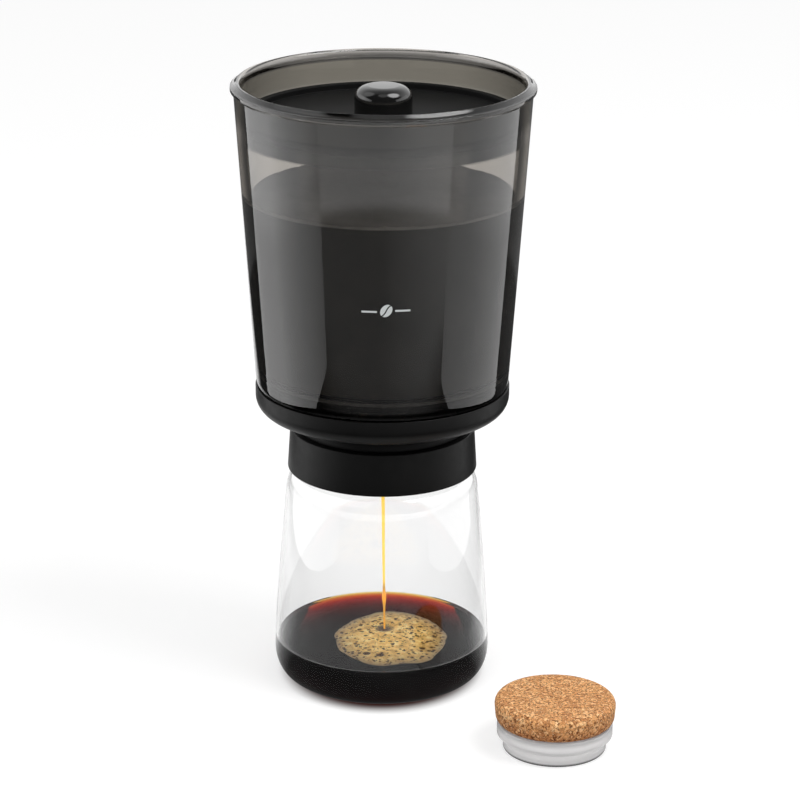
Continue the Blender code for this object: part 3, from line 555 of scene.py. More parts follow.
def wetted(nodes, height, level):
    """One on the inner faces below a level, and zero elsewhere."""
    inside = nodes.add("ShaderNodeAttribute", attribute_name="inside").outputs["Fac"]
    return nodes.math("MULTIPLY", nodes.math("GREATER_THAN", inside, 0.99),
                      nodes.math("LESS_THAN", height, level))


def smoke_tint():
    """Smoke-tinted clear plastic, darker at the mouth, with a painted highlight along the crown,
    painted shade below it, in the flange's cove and on the mouth's inner sides, and wetted inside by the
    grounds."""
    made, nodes, shader, where = material(
        "smoke_tint", Transmission_Weight=1.0, IOR=1.5, Roughness=0.02)
    across, height = polar(nodes, where)
    link(nodes, nodes.range(wetted(nodes, height, GROUNDS_TOP), 0.0, 1.0, DRY_IOR, WETTED_IOR), shader, "IOR")
    # Darker at the mouth, from just above the ledge up to the crown.
    dark_mouth = nodes.range(height, MOUTH_LEDGE + MOUTH_TINT_START, LID_TOP + MOUTH_TINT_END, smooth=True)
    flange = nodes.math("MULTIPLY", nodes.range(across, CROWN_RADIUS - FLANGE_SHADE_EDGE, CROWN_RADIUS),
                        nodes.range(height, *(CONTAINER_TOP - below for below in FLANGE_SHADE)))
    dark_mouth = nodes.math("MULTIPLY", dark_mouth, nodes.math("SUBTRACT", 1.0, flange))
    base = nodes.mix(dark_mouth, gray(0.97), rgb(0.28, 0.27, 0.24))
    # Painted shade: the mouth's inner wall darkens towards its left and right sides.
    aside = nodes.math("ABSOLUTE", nodes.add("ShaderNodeSeparateXYZ", where).outputs[0])
    sides = nodes.math("MULTIPLY", nodes.range(aside, *MOUTH_SIDE_SHADE, 0.0, MOUTH_SIDE_SHADE_SHARE),
                       nodes.range(across, *(CROWN_RADIUS - below for below in MOUTH_SKIN), 1.0, 0.0))
    base = nodes.mix(nodes.math("MULTIPLY", sides, dark_mouth), base, gray(0.04))
    # Painted highlight along the top of the crown, and painted shade in a band below it.
    crown_bottom = CONTAINER_TOP - FLANGE_HEIGHT
    crown = nodes.math("MULTIPLY", dark_mouth, nodes.range(height, crown_bottom, crown_bottom + CROWN_LIGHT_AND_SHADE_EDGE))
    rise = nodes.ramp(nodes.range(height, crown_bottom, CONTAINER_TOP),
                      (0.0, gray(0.08)), (0.44, gray(0.04)), (0.62, gray(0.14)), (0.80, gray(0.45)),
                      (1.0, gray(0.95)))
    base = nodes.mix(crown, base, rise)
    # Painted shade in the flange's cove, clearing towards its outer edge.
    cove = nodes.ramp(nodes.range(across, CROWN_RADIUS, CONTAINER_TOP_RADIUS + FLANGE_PROUD),
                      (0.0, gray(0.16)), (0.40, gray(0.22)), (0.75, gray(0.90)))
    link(nodes, nodes.mix(flange, base, cove), shader, "Base Color")
    scuffs = nodes.noise(where, 350.0, 6.0, 0.7)
    link(nodes, nodes.range(scuffs, 0.66, 0.8, 0.02, 0.05), shader, "Roughness")
    absorbing(made, nodes, rgb(0.16, 0.09, 0.0), 134.0)
    return made


def clear_glass():
    """Clear glass with a slight waviness, wetted inside by the coffee."""
    made, nodes, shader, where = material(
        "clear_glass", Transmission_Weight=1.0, IOR=1.5, Roughness=0.0, Base_Color=gray(0.96))
    height = nodes.add("ShaderNodeSeparateXYZ", where).outputs[2]
    link(nodes, nodes.range(wetted(nodes, height, COFFEE_TOP), 0.0, 1.0, DRY_IOR, WETTED_IOR), shader, "IOR")
    link(nodes, nodes.bump(nodes.noise(where, 28.0, 2.0), 0.06, 0.001), shader, "Normal")
    return made


def satin_black():
    """Moulded black plastic with a fine satin grain, and a painted highlight round the cup's foot."""
    made, nodes, shader, where = material(
        "satin_black", Roughness=0.42, Specular_IOR_Level=0.12)
    cloud = nodes.noise(where, 60.0, 5.0)
    base = nodes.mix(cloud, gray(0.0020), gray(0.0042))
    _, height = polar(nodes, where)
    # Painted highlight: a paler band round the cup's foot.
    cup_highlight = nodes.math("MULTIPLY", nodes.range(height, CUP_BOTTOM, CUP_BOTTOM + CUP_HIGHLIGHT_RISE),
                       nodes.range(height, *(CUP_BOTTOM + above for above in CUP_HIGHLIGHT_FALL), 1.0, 0.0))
    link(nodes, nodes.mix(cup_highlight, base, gray(0.026)), shader, "Base Color")
    grain = nodes.noise(where, 5200.0, 2.0, 0.6)
    link(nodes, nodes.range(nodes.noise(where, 240.0, 4.0), 0.3, 0.7, 0.36, 0.46), shader, "Roughness")
    link(nodes, nodes.bump(grain, 0.10, 0.00004), shader, "Normal")
    return made


def matt_black():
    """Moulded black plastic with a duller grain."""
    made, nodes, shader, where = material(
        "matt_black", Roughness=0.5, Specular_IOR_Level=0.04)
    link(nodes, nodes.mix(nodes.noise(where, 45.0, 4.0), gray(0.006), gray(0.011)), shader, "Base Color")
    link(nodes, nodes.bump(nodes.noise(where, 5200.0, 2.0, 0.6), 0.10, 0.00004), shader, "Normal")
    return made


def gloss_black():
    """Polished black plastic."""
    made, nodes, shader, where = material("gloss_black", Roughness=0.08)
    link(nodes, nodes.mix(nodes.noise(where, 80.0), gray(0.006), gray(0.010)), shader, "Base Color")
    link(nodes, nodes.range(nodes.noise(where, 500.0, 5.0), 0.45, 0.75, 0.07, 0.16), shader, "Roughness")
    return made


def grey_silicone():
    """Soft grey silicone rubber."""
    made, nodes, shader, where = material("grey_silicone", Roughness=0.6)
    link(nodes, nodes.mix(nodes.noise(where, 300.0), gray(0.030), gray(0.050)), shader, "Base Color")
    link(nodes, nodes.bump(nodes.noise(where, 4000.0, 3.0), 0.2, 0.00005), shader, "Normal")
    return made


def clear_silicone():
    """Milky, translucent silicone, with painted shade at its foot, along its step and under the cork, and a
    faint painted glow.
    """
    # Emission paints a faint glow in the silicone's own colour, standing in for light scattered inside.
    made, nodes, shader, where = material(
        "clear_silicone", Transmission_Weight=0.55, IOR=1.41, Roughness=0.25, Emission_Strength=0.10)
    base = nodes.mix(nodes.noise(where, 120.0), rgb(0.95, 0.94, 0.94), rgb(1.0, 0.99, 0.99))
    _, height = polar(nodes, where)
    # Painted shade: darker under the cork, at the foot and along the step.
    shade = nodes.math("MULTIPLY", nodes.range(height, *SEAL_TOP_SHADE, 1.0, 0.55, smooth=True),
                       nodes.range(height, *SEAL_FOOT_SHADE, 0.05, 1.0))
    step = nodes.math("ABSOLUTE", nodes.math("SUBTRACT", height, SEAL_STEP_HEIGHT))
    shade = nodes.math("MULTIPLY", shade, nodes.range(step, *SEAL_STEP_SHADE, 0.22, 1.0))
    base = nodes.mix(1.0, base, shade, "MULTIPLY")
    link(nodes, base, shader, "Base Color")
    link(nodes, base, shader, "Emission Color")
    link(nodes, nodes.bump(nodes.noise(where, 2500.0, 3.0), 0.1, 0.00005), shader, "Normal")
    return made


def stainless_steel():
    """Drawn stainless steel."""
    made, nodes, shader, where = material("stainless_steel", Metallic=1.0, Roughness=0.25)
    link(nodes, nodes.mix(nodes.noise(where, 700.0), gray(0.52), gray(0.64)), shader, "Base Color")
    link(nodes, nodes.range(nodes.noise(where, 1500.0, 5.0), 0.3, 0.7, 0.2, 0.34), shader, "Roughness")
    return made


def woven_steel():
    """Fine woven steel cloth, with painted shade between its wires."""
    made, nodes, shader, where = material("woven_steel", Metallic=1.0, Roughness=0.3)
    parts = nodes.add("ShaderNodeSeparateXYZ", where).outputs
    waves = [nodes.math("ABSOLUTE", nodes.math("SINE", nodes.math("MULTIPLY", part, math.pi / WEAVE_PITCH)))
             for part in parts[:2]]
    weave = nodes.math("MULTIPLY", *waves)
    # Painted shade in the gaps between the wires.
    link(nodes, nodes.mix(nodes.range(weave, 0.35, 0.75), gray(0.62), gray(0.03)), shader, "Base Color")
    link(nodes, nodes.bump(nodes.math("SUBTRACT", 1.0, weave), 0.6, 0.0001), shader, "Normal")
    return made


def white_plastic():
    """White moulded plastic."""
    made, nodes, shader, where = material("white_plastic", Roughness=0.4)
    link(nodes, nodes.mix(nodes.noise(where, 90.0), gray(0.70), gray(0.78)), shader, "Base Color")
    return made


def cork_grain():
    """Pressed cork granules in several browns, with dark flecks and pits between them, and painted shade
    towards the bottom.
    """
    made, nodes, shader, where = material("cork", Roughness=0.85, Specular_IOR_Level=0.25)
    bent = nodes.add("ShaderNodeVectorMath", where,
                     nodes.add("ShaderNodeVectorMath",
                               nodes.add("ShaderNodeTexNoise", where, None, 420.0, 3.0).outputs["Color"],
                               gray(0.0012)[:3], operation="MULTIPLY").outputs[0],
                     operation="ADD").outputs[0]
    cells = nodes.add("ShaderNodeTexVoronoi", bent, None, 620.0)
    edges = nodes.add("ShaderNodeTexVoronoi", bent, None, 620.0, feature="DISTANCE_TO_EDGE").outputs[0]
    tone = nodes.add("ShaderNodeSeparateColor", cells.outputs["Color"]).outputs[0]
    base = nodes.ramp(tone, (0.0, rgb(0.46, 0.20, 0.075)), (0.3, rgb(0.66, 0.33, 0.13)),
                      (0.65, rgb(0.82, 0.47, 0.20)), (1.0, rgb(0.98, 0.68, 0.36)))
    fibre = nodes.noise(where, 2300.0, 3.0, 0.7)
    base = nodes.mix(nodes.range(fibre, 0.40, 0.62, 0.0, 0.35), base, rgb(0.95, 0.56, 0.24))
    seam = nodes.range(edges, 0.0, 0.10, 0.7, 0.0)
    base = nodes.mix(seam, base, rgb(0.36, 0.15, 0.055))
    fleck = nodes.range(nodes.noise(where, 760.0, 3.0, 0.75), 0.535, 0.575)
    base = nodes.mix(nodes.math("MULTIPLY", fleck, 0.92), base, rgb(0.16, 0.05, 0.014))
    pale = nodes.range(nodes.noise(where, 1150.0, 2.0, 0.6), 0.60, 0.68)
    base = nodes.mix(nodes.math("MULTIPLY", pale, 0.85), base, rgb(1.0, 0.78, 0.48))
    # Painted shade: the cap grows darker and redder towards its bottom.
    low = nodes.range(polar(nodes, where)[1], CORK_BOTTOM, CORK_TOP - CORK_ROUNDING, 0.55, 0.0)
    base = nodes.mix(low, base, rgb(0.42, 0.16, 0.055), "MULTIPLY")
    base = nodes.mix(1.0, base, rgb(1.12, 1.02, 0.96), "MULTIPLY")
    link(nodes, base, shader, "Base Color")
    relief = nodes.math("SUBTRACT", nodes.math("ADD", nodes.range(edges, 0.0, 0.12), fibre), fleck)
    link(nodes, nodes.bump(relief, 0.55, 0.0004), shader, "Normal")
    return made


def wet_grounds():
    """Steeping coffee grounds: almost black, wet against the wall and crumbly on top, with painted shade
    darkening the top towards the back.
    """
    made, nodes, shader, where = material("wet_grounds", Roughness=0.8, Specular_IOR_Level=0.1)
    grit = nodes.noise(where, 1300.0, 5.0, 0.7)
    patches = nodes.noise(where, 55.0, 5.0, 0.6)
    tone = nodes.math("ADD", nodes.math("MULTIPLY", grit, 0.5), nodes.math("MULTIPLY", patches, 0.5))
    side = nodes.ramp(tone, (0.35, rgb(0.018, 0.017, 0.016)), (0.65, rgb(0.040, 0.038, 0.036)))
    top = nodes.ramp(tone, (0.35, rgb(0.17, 0.17, 0.167)), (0.65, rgb(0.26, 0.26, 0.255)))
    _, height = polar(nodes, where)
    up = nodes.range(height, *(GROUNDS_TOP - below for below in GROUNDS_CRUST))
    # Painted shade: the top darkens towards the back.
    back = nodes.add("ShaderNodeSeparateXYZ", where).outputs[1]
    back_shade = nodes.range(back, GROUNDS_SHADE_FRONT, GROUNDS_SHADE_BACK, 1.08, 0.50, smooth=True)
    top = nodes.mix(1.0, top, back_shade, "MULTIPLY")
    link(nodes, nodes.mix(up, side, top), shader, "Base Color")
    crumbs = nodes.math("MULTIPLY", grit, up)
    link(nodes, nodes.bump(crumbs, 0.5, 0.0005), shader, "Normal")
    return made


def brewed_coffee():
    """Brewed coffee: clear amber where it is thin, black where it is deep."""
    made, nodes, shader, where = material(
        "brewed_coffee", Transmission_Weight=1.0, IOR=1.33, Roughness=0.0, Base_Color=gray(1.0))
    _, height = polar(nodes, where)
    open_top = nodes.math("GREATER_THAN", height, COFFEE_TOP - COFFEE_MENISCUS)
    link(nodes, nodes.range(open_top, 0.0, 1.0, 1.001, 1.15), shader, "IOR")
    link(nodes, nodes.bump(nodes.noise(where, 70.0, 2.0), 0.15, 0.0004), shader, "Normal")
    absorbing(made, nodes, rgb(0.93, 0.70, 0.0), 2100.0)
    return made


def coffee_stream():
    """The thin golden stream, with a painted glow, and painted bands of shade and orange glow near the
    surface.
    """
    made, nodes, shader, where = material(
        "coffee_stream", Transmission_Weight=0.35, IOR=1.33, Roughness=0.08)
    # Painted glow: the stream glows golden all over.
    shader.inputs["Emission Color"].default_value = rgb(1.0, 0.66, 0.08)
    shader.inputs["Emission Strength"].default_value = 0.34
    _, height = polar(nodes, where)
    # Painted light and shade by height: dark and orange-glowing bands near the surface, bright gold above.
    tone = nodes.ramp(nodes.range(height, COFFEE_TOP, STREAM_TOP),
                      (0.0, rgb(0.75, 0.25, 0.02)), (0.12, rgb(0.55, 0.17, 0.015)),
                      (0.16, rgb(1.0, 0.42, 0.03)), (0.20, rgb(0.85, 0.32, 0.02)),
                      (0.225, rgb(0.36, 0.13, 0.02)), (0.26, rgb(1.0, 0.76, 0.14)),
                      (1.0, rgb(1.0, 0.84, 0.22)))
    link(nodes, tone, shader, "Base Color")
    return made


def foam_finish():
    """Golden foam: pale bubble walls, dark bubble insides, browner at its edge, with a faint painted glow."""
    # Emission paints a faint glow in the foam's own colours.
    made, nodes, shader, where = material("foam", Roughness=0.45, Specular_IOR_Level=0.15,
                                          Emission_Strength=0.16)
    pit = nodes.add("ShaderNodeAttribute", attribute_name="pit").outputs["Fac"]
    edge = nodes.add("ShaderNodeAttribute", attribute_name="edge").outputs["Fac"]
    light = nodes.ramp(nodes.noise(where, 260.0, 3.0, 0.55), (0.34, rgb(0.60, 0.33, 0.07)),
                       (0.50, rgb(0.88, 0.54, 0.14)), (0.66, rgb(1.0, 0.76, 0.30)))
    base = nodes.mix(nodes.range(edge, 0.0, 1.0, 0.0, 0.88), light, rgb(0.17, 0.12, 0.07))
    base = nodes.mix(nodes.range(pit, 0.1, 0.8, 0.0, 0.97), base, rgb(0.05, 0.02, 0.006))
    link(nodes, base, shader, "Base Color")
    link(nodes, base, shader, "Emission Color")
    link(nodes, nodes.bump(nodes.noise(where, 3000.0, 3.0), 0.3, 0.0001), shader, "Normal")
    return made


def pale_print():
    """Pale grey ink."""
    made, nodes, shader, where = material("pale_print", Roughness=0.5)
    link(nodes, nodes.mix(nodes.noise(where, 900.0), rgb(0.58, 0.61, 0.61), rgb(0.68, 0.71, 0.71)),
         shader, "Base Color")
    return made


def carafe_outline():
    """The carafe's outer curve from the centre of its bottom to the neck."""
    base = Vector((CARAFE_BODY_RADIUS - CARAFE_HEEL_WIDTH, CARAFE_BODY_HEIGHT))
    corner = Vector((CARAFE_HEEL_WIDTH, CARAFE_BODY_HEIGHT))
    rise = CARAFE_SHOULDER_HEIGHT - CARAFE_BODY_HEIGHT
    outline = [Vector((0, 0))]
    for point in arc(Vector((0, 0)), 1, math.radians(-90), 0, 2 * ARC_STEPS):
        outline.append(base + point * corner)
    for step in range(1, CARAFE_SIDE_STEPS):
        share = step / CARAFE_SIDE_STEPS
        outline.append(Vector((CARAFE_BODY_RADIUS - CARAFE_SIDE_TAPER * share ** CARAFE_SIDE_BEND,
                               CARAFE_BODY_HEIGHT + rise * share)))
    lean = math.atan2(CARAFE_SIDE_TAPER * CARAFE_SIDE_BEND, rise)
    centre = Vector((CARAFE_BODY_RADIUS - CARAFE_SIDE_TAPER, CARAFE_SHOULDER_HEIGHT))
    centre -= CARAFE_SHOULDER_ROUNDING * Vector((math.cos(lean), math.sin(lean)))
    outline += arc(centre, CARAFE_SHOULDER_ROUNDING, lean, CARAFE_SHOULDER_TURN)
    neck = [(*outline[-1], 0),
            (CARAFE_NECK_RADIUS, CARAFE_HEIGHT - CARAFE_NECK_HEIGHT, CARAFE_NECK_ROUNDING),
            (CARAFE_NECK_RADIUS, CARAFE_HEIGHT - CARAFE_LIP_HEIGHT, 0)]
    return outline + rounded(neck)[1:]


def carafe_bore(height):
    """The carafe's inner radius at a height."""
    inside = offset(carafe_outline(), CARAFE_WALL)
    for below, above in zip(inside, inside[1:]):
        if below.y <= height < above.y:
            return below.lerp(above, (height - below.y) / (above.y - below.y)).x
    return 0.0


def make_carafe(glass):
    """Clear glass carafe with its lip."""
    outline = carafe_outline()
    inside = offset(outline, CARAFE_WALL)
    bore = CARAFE_NECK_RADIUS - CARAFE_WALL
    lip = [(bore, CARAFE_HEIGHT - CARAFE_LIP_HEIGHT, 0),
           (CARAFE_NECK_RADIUS + CARAFE_LIP_PROUD, CARAFE_HEIGHT - CARAFE_LIP_HEIGHT + CARAFE_LIP_ROUNDING,
            CARAFE_LIP_ROUNDING),
           (CARAFE_NECK_RADIUS + CARAFE_LIP_PROUD, CARAFE_HEIGHT, CARAFE_LIP_ROUNDING),
           (bore, CARAFE_HEIGHT, CARAFE_LIP_ROUNDING)]
    outline += rounded(lip)[1:]
    outline += reversed(inside)
    mesh = turned("carafe", outline, inner=len(inside))
    place("carafe", mesh, glass, "carafe", "clear_glass", "carafe_glass")


def make_container(tint):
    """Tinted tumbler with its sloped flange and the ledge in its mouth."""
    centre, lean = container_foot_centre()
    flange_bottom = CONTAINER_TOP - FLANGE_HEIGHT
    flange_radius = CONTAINER_TOP_RADIUS + FLANGE_PROUD
    cove = []
    for step in range(1, COVE_STEPS + 1):
        share = 1 - step / COVE_STEPS
        cove.append((CROWN_RADIUS + (flange_radius - CROWN_RADIUS) * share,
                     CONTAINER_TOP - CROWN_STEP - (FLANGE_SLOPE - CROWN_STEP) * (1 - (1 - share) ** 2), 0))
    crown = []
    for step in range(ARC_STEPS + 1):
        turn = math.pi / 2 * step / ARC_STEPS
        height = CONTAINER_TOP - CROWN_INNER_HEIGHT * (1 - math.cos(turn))
        crown.append((mouth_radius(height) + CROWN_INNER_WIDTH * (1 - math.sin(turn)), height, 0))
    outline = [Vector((DRAIN_HOLE_RADIUS, CONTAINER_BOTTOM))]
    outline += arc(centre, CONTAINER_FOOT_ROUNDING, math.radians(-90), -lean)
    rim = [(*outline[-1], 0),
           (container_radius(flange_bottom), flange_bottom, 0),
           (flange_radius, flange_bottom + FLANGE_UNDERCUT, FLANGE_ROUNDING),
           (flange_radius, CONTAINER_TOP - FLANGE_SLOPE, FLANGE_ROUNDING),
           *cove,
           (CROWN_RADIUS - CROWN_STEP, CONTAINER_TOP, CROWN_ROUNDING),
           *crown,
           (mouth_radius(MOUTH_LEDGE), MOUTH_LEDGE, 0),
           (container_radius(MOUTH_LEDGE) - CONTAINER_WALL, MOUTH_LEDGE, 0)]
    outline += rounded(rim)[1:]
    inside = [outline.pop(), Vector((container_radius(GROUNDS_TOP) - CONTAINER_WALL, GROUNDS_TOP))]
    inside += arc(centre, CONTAINER_FOOT_ROUNDING - CONTAINER_WALL, -lean, math.radians(-90))
    inside.append(Vector((DRAIN_HOLE_RADIUS, CONTAINER_BOTTOM + CONTAINER_WALL)))
    mesh = turned("tumbler", outline + inside, inner=len(inside))
    place("tumbler", mesh, tint, "brewer", "smoke_tint", "container")


def make_drain_base(black):
    """The cup under the container and the collar that slips over the carafe."""
    centre, _ = container_foot_centre()
    reach = CONTAINER_FOOT_ROUNDING + TOUCH_GAP
    rim_angle = math.asin((CUP_RIM - centre.y) / reach)
    outside = [(DRAIN_HOLE_RADIUS, CUP_BOTTOM, 0),
               (SEAT_BOSS_BORE, CUP_BOTTOM, 0),
               (SEAT_BOSS_BORE, SEAT_BOSS_BOTTOM, 0),
               (SEAT_BOSS_RADIUS, SEAT_BOSS_BOTTOM, 0),
               (SEAT_BOSS_RADIUS, CUP_BOTTOM, 0),
               (NECK_BORE, CUP_BOTTOM, 0),
               (NECK_BORE, NECK_BOTTOM, 0),
               (NECK_RADIUS, NECK_BOTTOM, 0),
               (NECK_RADIUS, CUP_BOTTOM, NECK_ROUNDING),
               (CUP_RADIUS, CUP_BOTTOM, CUP_ROUNDING),
               (CUP_RADIUS, CUP_RIM, CUP_RIM_ROUNDING)]
    inside = arc(centre, reach, rim_angle, math.radians(-90))
    inside.append(Vector((DRAIN_HOLE_RADIUS, CUP_INSIDE)))
    outline = rounded([*outside, (*inside[0], 0)]) + inside[1:]
    place("drain_cup", turned("drain_cup", outline), black, "brewer", "satin_black", "base_cup")
    spigot = NECK_BORE - TOUCH_GAP
    web_bottom = COLLAR_TOP - COLLAR_WALL
    corners = [(COLLAR_RADIUS - COLLAR_WALL, COLLAR_BOTTOM, 0),
               (COLLAR_RADIUS, COLLAR_BOTTOM, COLLAR_ROUNDING),
               (COLLAR_TOP_RADIUS, COLLAR_TOP, COLLAR_ROUNDING),
               (spigot, COLLAR_TOP, 0),
               (spigot, COLLAR_TOP + COLLAR_SPIGOT_HEIGHT, 0),
               (spigot - COLLAR_SPIGOT_WALL, COLLAR_TOP + COLLAR_SPIGOT_HEIGHT, 0),
               (spigot - COLLAR_SPIGOT_WALL, COLLAR_TOP, 0),
               (SEAT_BOSS_RADIUS + TOUCH_GAP, COLLAR_TOP, 0),
               (SEAT_BOSS_RADIUS + TOUCH_GAP, web_bottom, 0),
               (COLLAR_TOP_RADIUS - COLLAR_WALL, web_bottom, 0)]
    mesh = turned("carafe_collar", rounded(corners))
    place("carafe_collar", mesh, black, "brewer", "satin_black", "collar")


def make_lid(matt, gloss):
    """Lid with its raised rim and moat, and the gloss knob."""
    top = mouth_radius(LID_TOP) - SLIDE_GAP
    bottom = mouth_radius(LID_BOTTOM) - SLIDE_GAP
    moat_floor = LID_FLOOR - LID_MOAT_DEPTH
    corners = [(LID_HOLE_RADIUS, LID_BOTTOM, 0),
               (bottom, LID_BOTTOM, 0),
               (top, LID_TOP, LID_ROUNDING),
               (top - LID_RIM_WIDTH, LID_TOP, LID_ROUNDING),
               (top - LID_RIM_WIDTH, LID_FLOOR, LID_ROUNDING),
               (LID_MOAT_RADIUS, LID_FLOOR, LID_ROUNDING / 2),
               (LID_MOAT_RADIUS - LID_MOAT_DEPTH, moat_floor, LID_ROUNDING / 2),
               (LID_HOLE_RADIUS, moat_floor, 0)]
    place("brewer_lid", turned("brewer_lid", rounded(corners)), matt, "lid_group", "satin_black", "lid")
    corners = [(LID_HOLE_RADIUS, KNOB_BOTTOM, 0),
               (KNOB_RADIUS, KNOB_BOTTOM, LID_ROUNDING / 2),
               (KNOB_RADIUS, KNOB_TOP - KNOB_CROWN, KNOB_ROUNDING),
               (KNOB_RADIUS - KNOB_ROUNDING, KNOB_TOP, KNOB_ROUNDING / 2),
               (0, KNOB_TOP, 0),
               (0, KNOB_HOLE_TOP, 0),
               (LID_HOLE_RADIUS, KNOB_HOLE_TOP, 0)]
    knob = turned("knob", rounded(corners), SMALL_SEGMENTS)
    place("knob", knob, gloss, "lid_group", "gloss_black", "lid_knob")


def make_stopper(cork, silicone):
    """The cork cap and its translucent plug."""
    hole = CORE_SPIGOT_RADIUS + TOUCH_GAP
    hole_top = CORE_SPIGOT_TOP + TOUCH_GAP
    corners = [(hole, CORK_BOTTOM, 0),
               (CORK_RADIUS - CORK_TAPER, CORK_BOTTOM, CORK_ROUNDING),
               (CORK_RADIUS, CORK_TOP, CORK_ROUNDING),
               (0, CORK_TOP, 0),
               (0, hole_top, 0),
               (hole, hole_top, 0)]
    outline = divided(rounded(corners), CORK_ROUNDING / 4)
    mesh = turned("cork_cap", outline, ROUND_SEGMENTS, STOPPER_PLACE)
    rough_up(mesh, CORK_ROUGHNESS, 900.0, lambda point: point.z > CORK_BOTTOM + CORK_ROUGHNESS)
    place("cork_cap", mesh, cork, "stopper", "cork", "stopper_cork")
    foot_bore = SEAL_FOOT_RADIUS - SEAL_WALL
    step_top = SEAL_STEP_HEIGHT + SEAL_STEP_RISE
    corners = [(0, 0, 0),
               (SEAL_FOOT_RADIUS, 0, SEAL_ROUNDING),
               (SEAL_FOOT_RADIUS, SEAL_STEP_HEIGHT, SEAL_ROUNDING / 2),
               (SEAL_RADIUS, step_top, SEAL_ROUNDING / 2),
               (SEAL_RADIUS, SEAL_TOP, SEAL_ROUNDING),
               (foot_bore, SEAL_TOP, 0),
               (foot_bore, SEAL_WALL, 0),
               (0, SEAL_WALL, 0)]
    seal = turned("plug", rounded(corners), ROUND_SEGMENTS, STOPPER_PLACE)
    place("plug", seal, silicone, "stopper", "clear_silicone", "stopper_seal")


def make_grounds(finish):
    """Steeping grounds: they fill the container to an uneven top, and ride on the filter."""
    reach = CONTAINER_WALL + CONTENTS_GAP
    side = [Vector((container_radius(height) - reach, height)) for height in (GROUNDS_BOTTOM, GROUNDS_TOP)]
    outline = [Vector((0, GROUNDS_BOTTOM)), *divided(side, GROUNDS_SIDE_STEP)]
    outline += divided([side[1], Vector((0, GROUNDS_TOP))], GROUNDS_TOP_STEP)[1:]
    mesh = turned("grounds", outline, 2 * ROUND_SEGMENTS)
    for vert in mesh.vertices:
        if vert.co.z > GROUNDS_TOP - TOUCH_GAP:
            coarse = noise.noise(vert.co * 60.0) * 2
            fine = noise.noise(vert.co * 420.0) + abs(noise.noise(vert.co * 190.0)) * 1.6
            vert.co.z += GROUNDS_UNEVEN * (coarse * 0.6 + fine * 0.8 - 1.0)
    made = place("grounds", mesh, finish, "filter", None)
    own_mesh(made)


def make_coffee(finish):
    """Brewed coffee in the carafe, with its meniscus."""
    outline = [point for point in offset(carafe_outline(), CARAFE_WALL + CONTENTS_GAP)
               if point.y < COFFEE_TOP - COFFEE_MENISCUS]
    edge = carafe_bore(COFFEE_TOP) - CONTENTS_GAP
    outline.append(Vector((edge, COFFEE_TOP)))
    for step in range(1, ARC_STEPS + 1):
        share = step / ARC_STEPS
        outline.append(Vector((edge - COFFEE_MENISCUS_WIDTH * share,
                               COFFEE_TOP - COFFEE_MENISCUS * (1 - (1 - share) ** 2))))
    outline.append(Vector((0, COFFEE_TOP - COFFEE_MENISCUS)))
    place("coffee", turned("coffee", outline), finish, "carafe", None)


def make_stream(finish):
    """The stream from the valve's drip tip to the foam's crater."""
    bottom = COFFEE_TOP - COFFEE_MENISCUS + TOUCH_GAP
    shape = bmesh.new()
    loops = []
    for step in range(STREAM_STEPS + 1):
        share = step / STREAM_STEPS
        height = STREAM_TOP + (bottom - STREAM_TOP) * share
        radius = STREAM_TOP_RADIUS + (STREAM_END_RADIUS - STREAM_TOP_RADIUS) * share ** 0.8
        radius *= 1 + STREAM_UNEVEN_SHARE * noise.noise((0, 0, height * 160)) * share
        radius += STREAM_BULGE * math.exp(-((height - STREAM_BULGE_HEIGHT) / STREAM_BULGE_REACH) ** 2)
        sway = Vector((noise.noise((3, 0, height * 30)), noise.noise((0, 5, height * 30)), 0))
        sway *= STREAM_SWAY * share
        middle = sway + Vector((FOAM_CRATER[0], FOAM_CRATER[1], 0)) * share + Vector((0, 0, height))
        turns = [math.tau * k / STREAM_SEGMENTS for k in range(STREAM_SEGMENTS)]
        loops.append([shape.verts.new(middle + radius * Vector((math.cos(turn), math.sin(turn), 0)))
                      for turn in turns])
    for upper, lower in zip(loops, loops[1:]):
        for k in range(STREAM_SEGMENTS):
            shape.faces.new((upper[k], upper[k - 1], lower[k - 1], lower[k]))
    shape.faces.new(loops[0])
    shape.faces.new(loops[-1])
    made = place("stream", mesh_from(shape, "stream"), finish, "carafe", None)
    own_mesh(made)


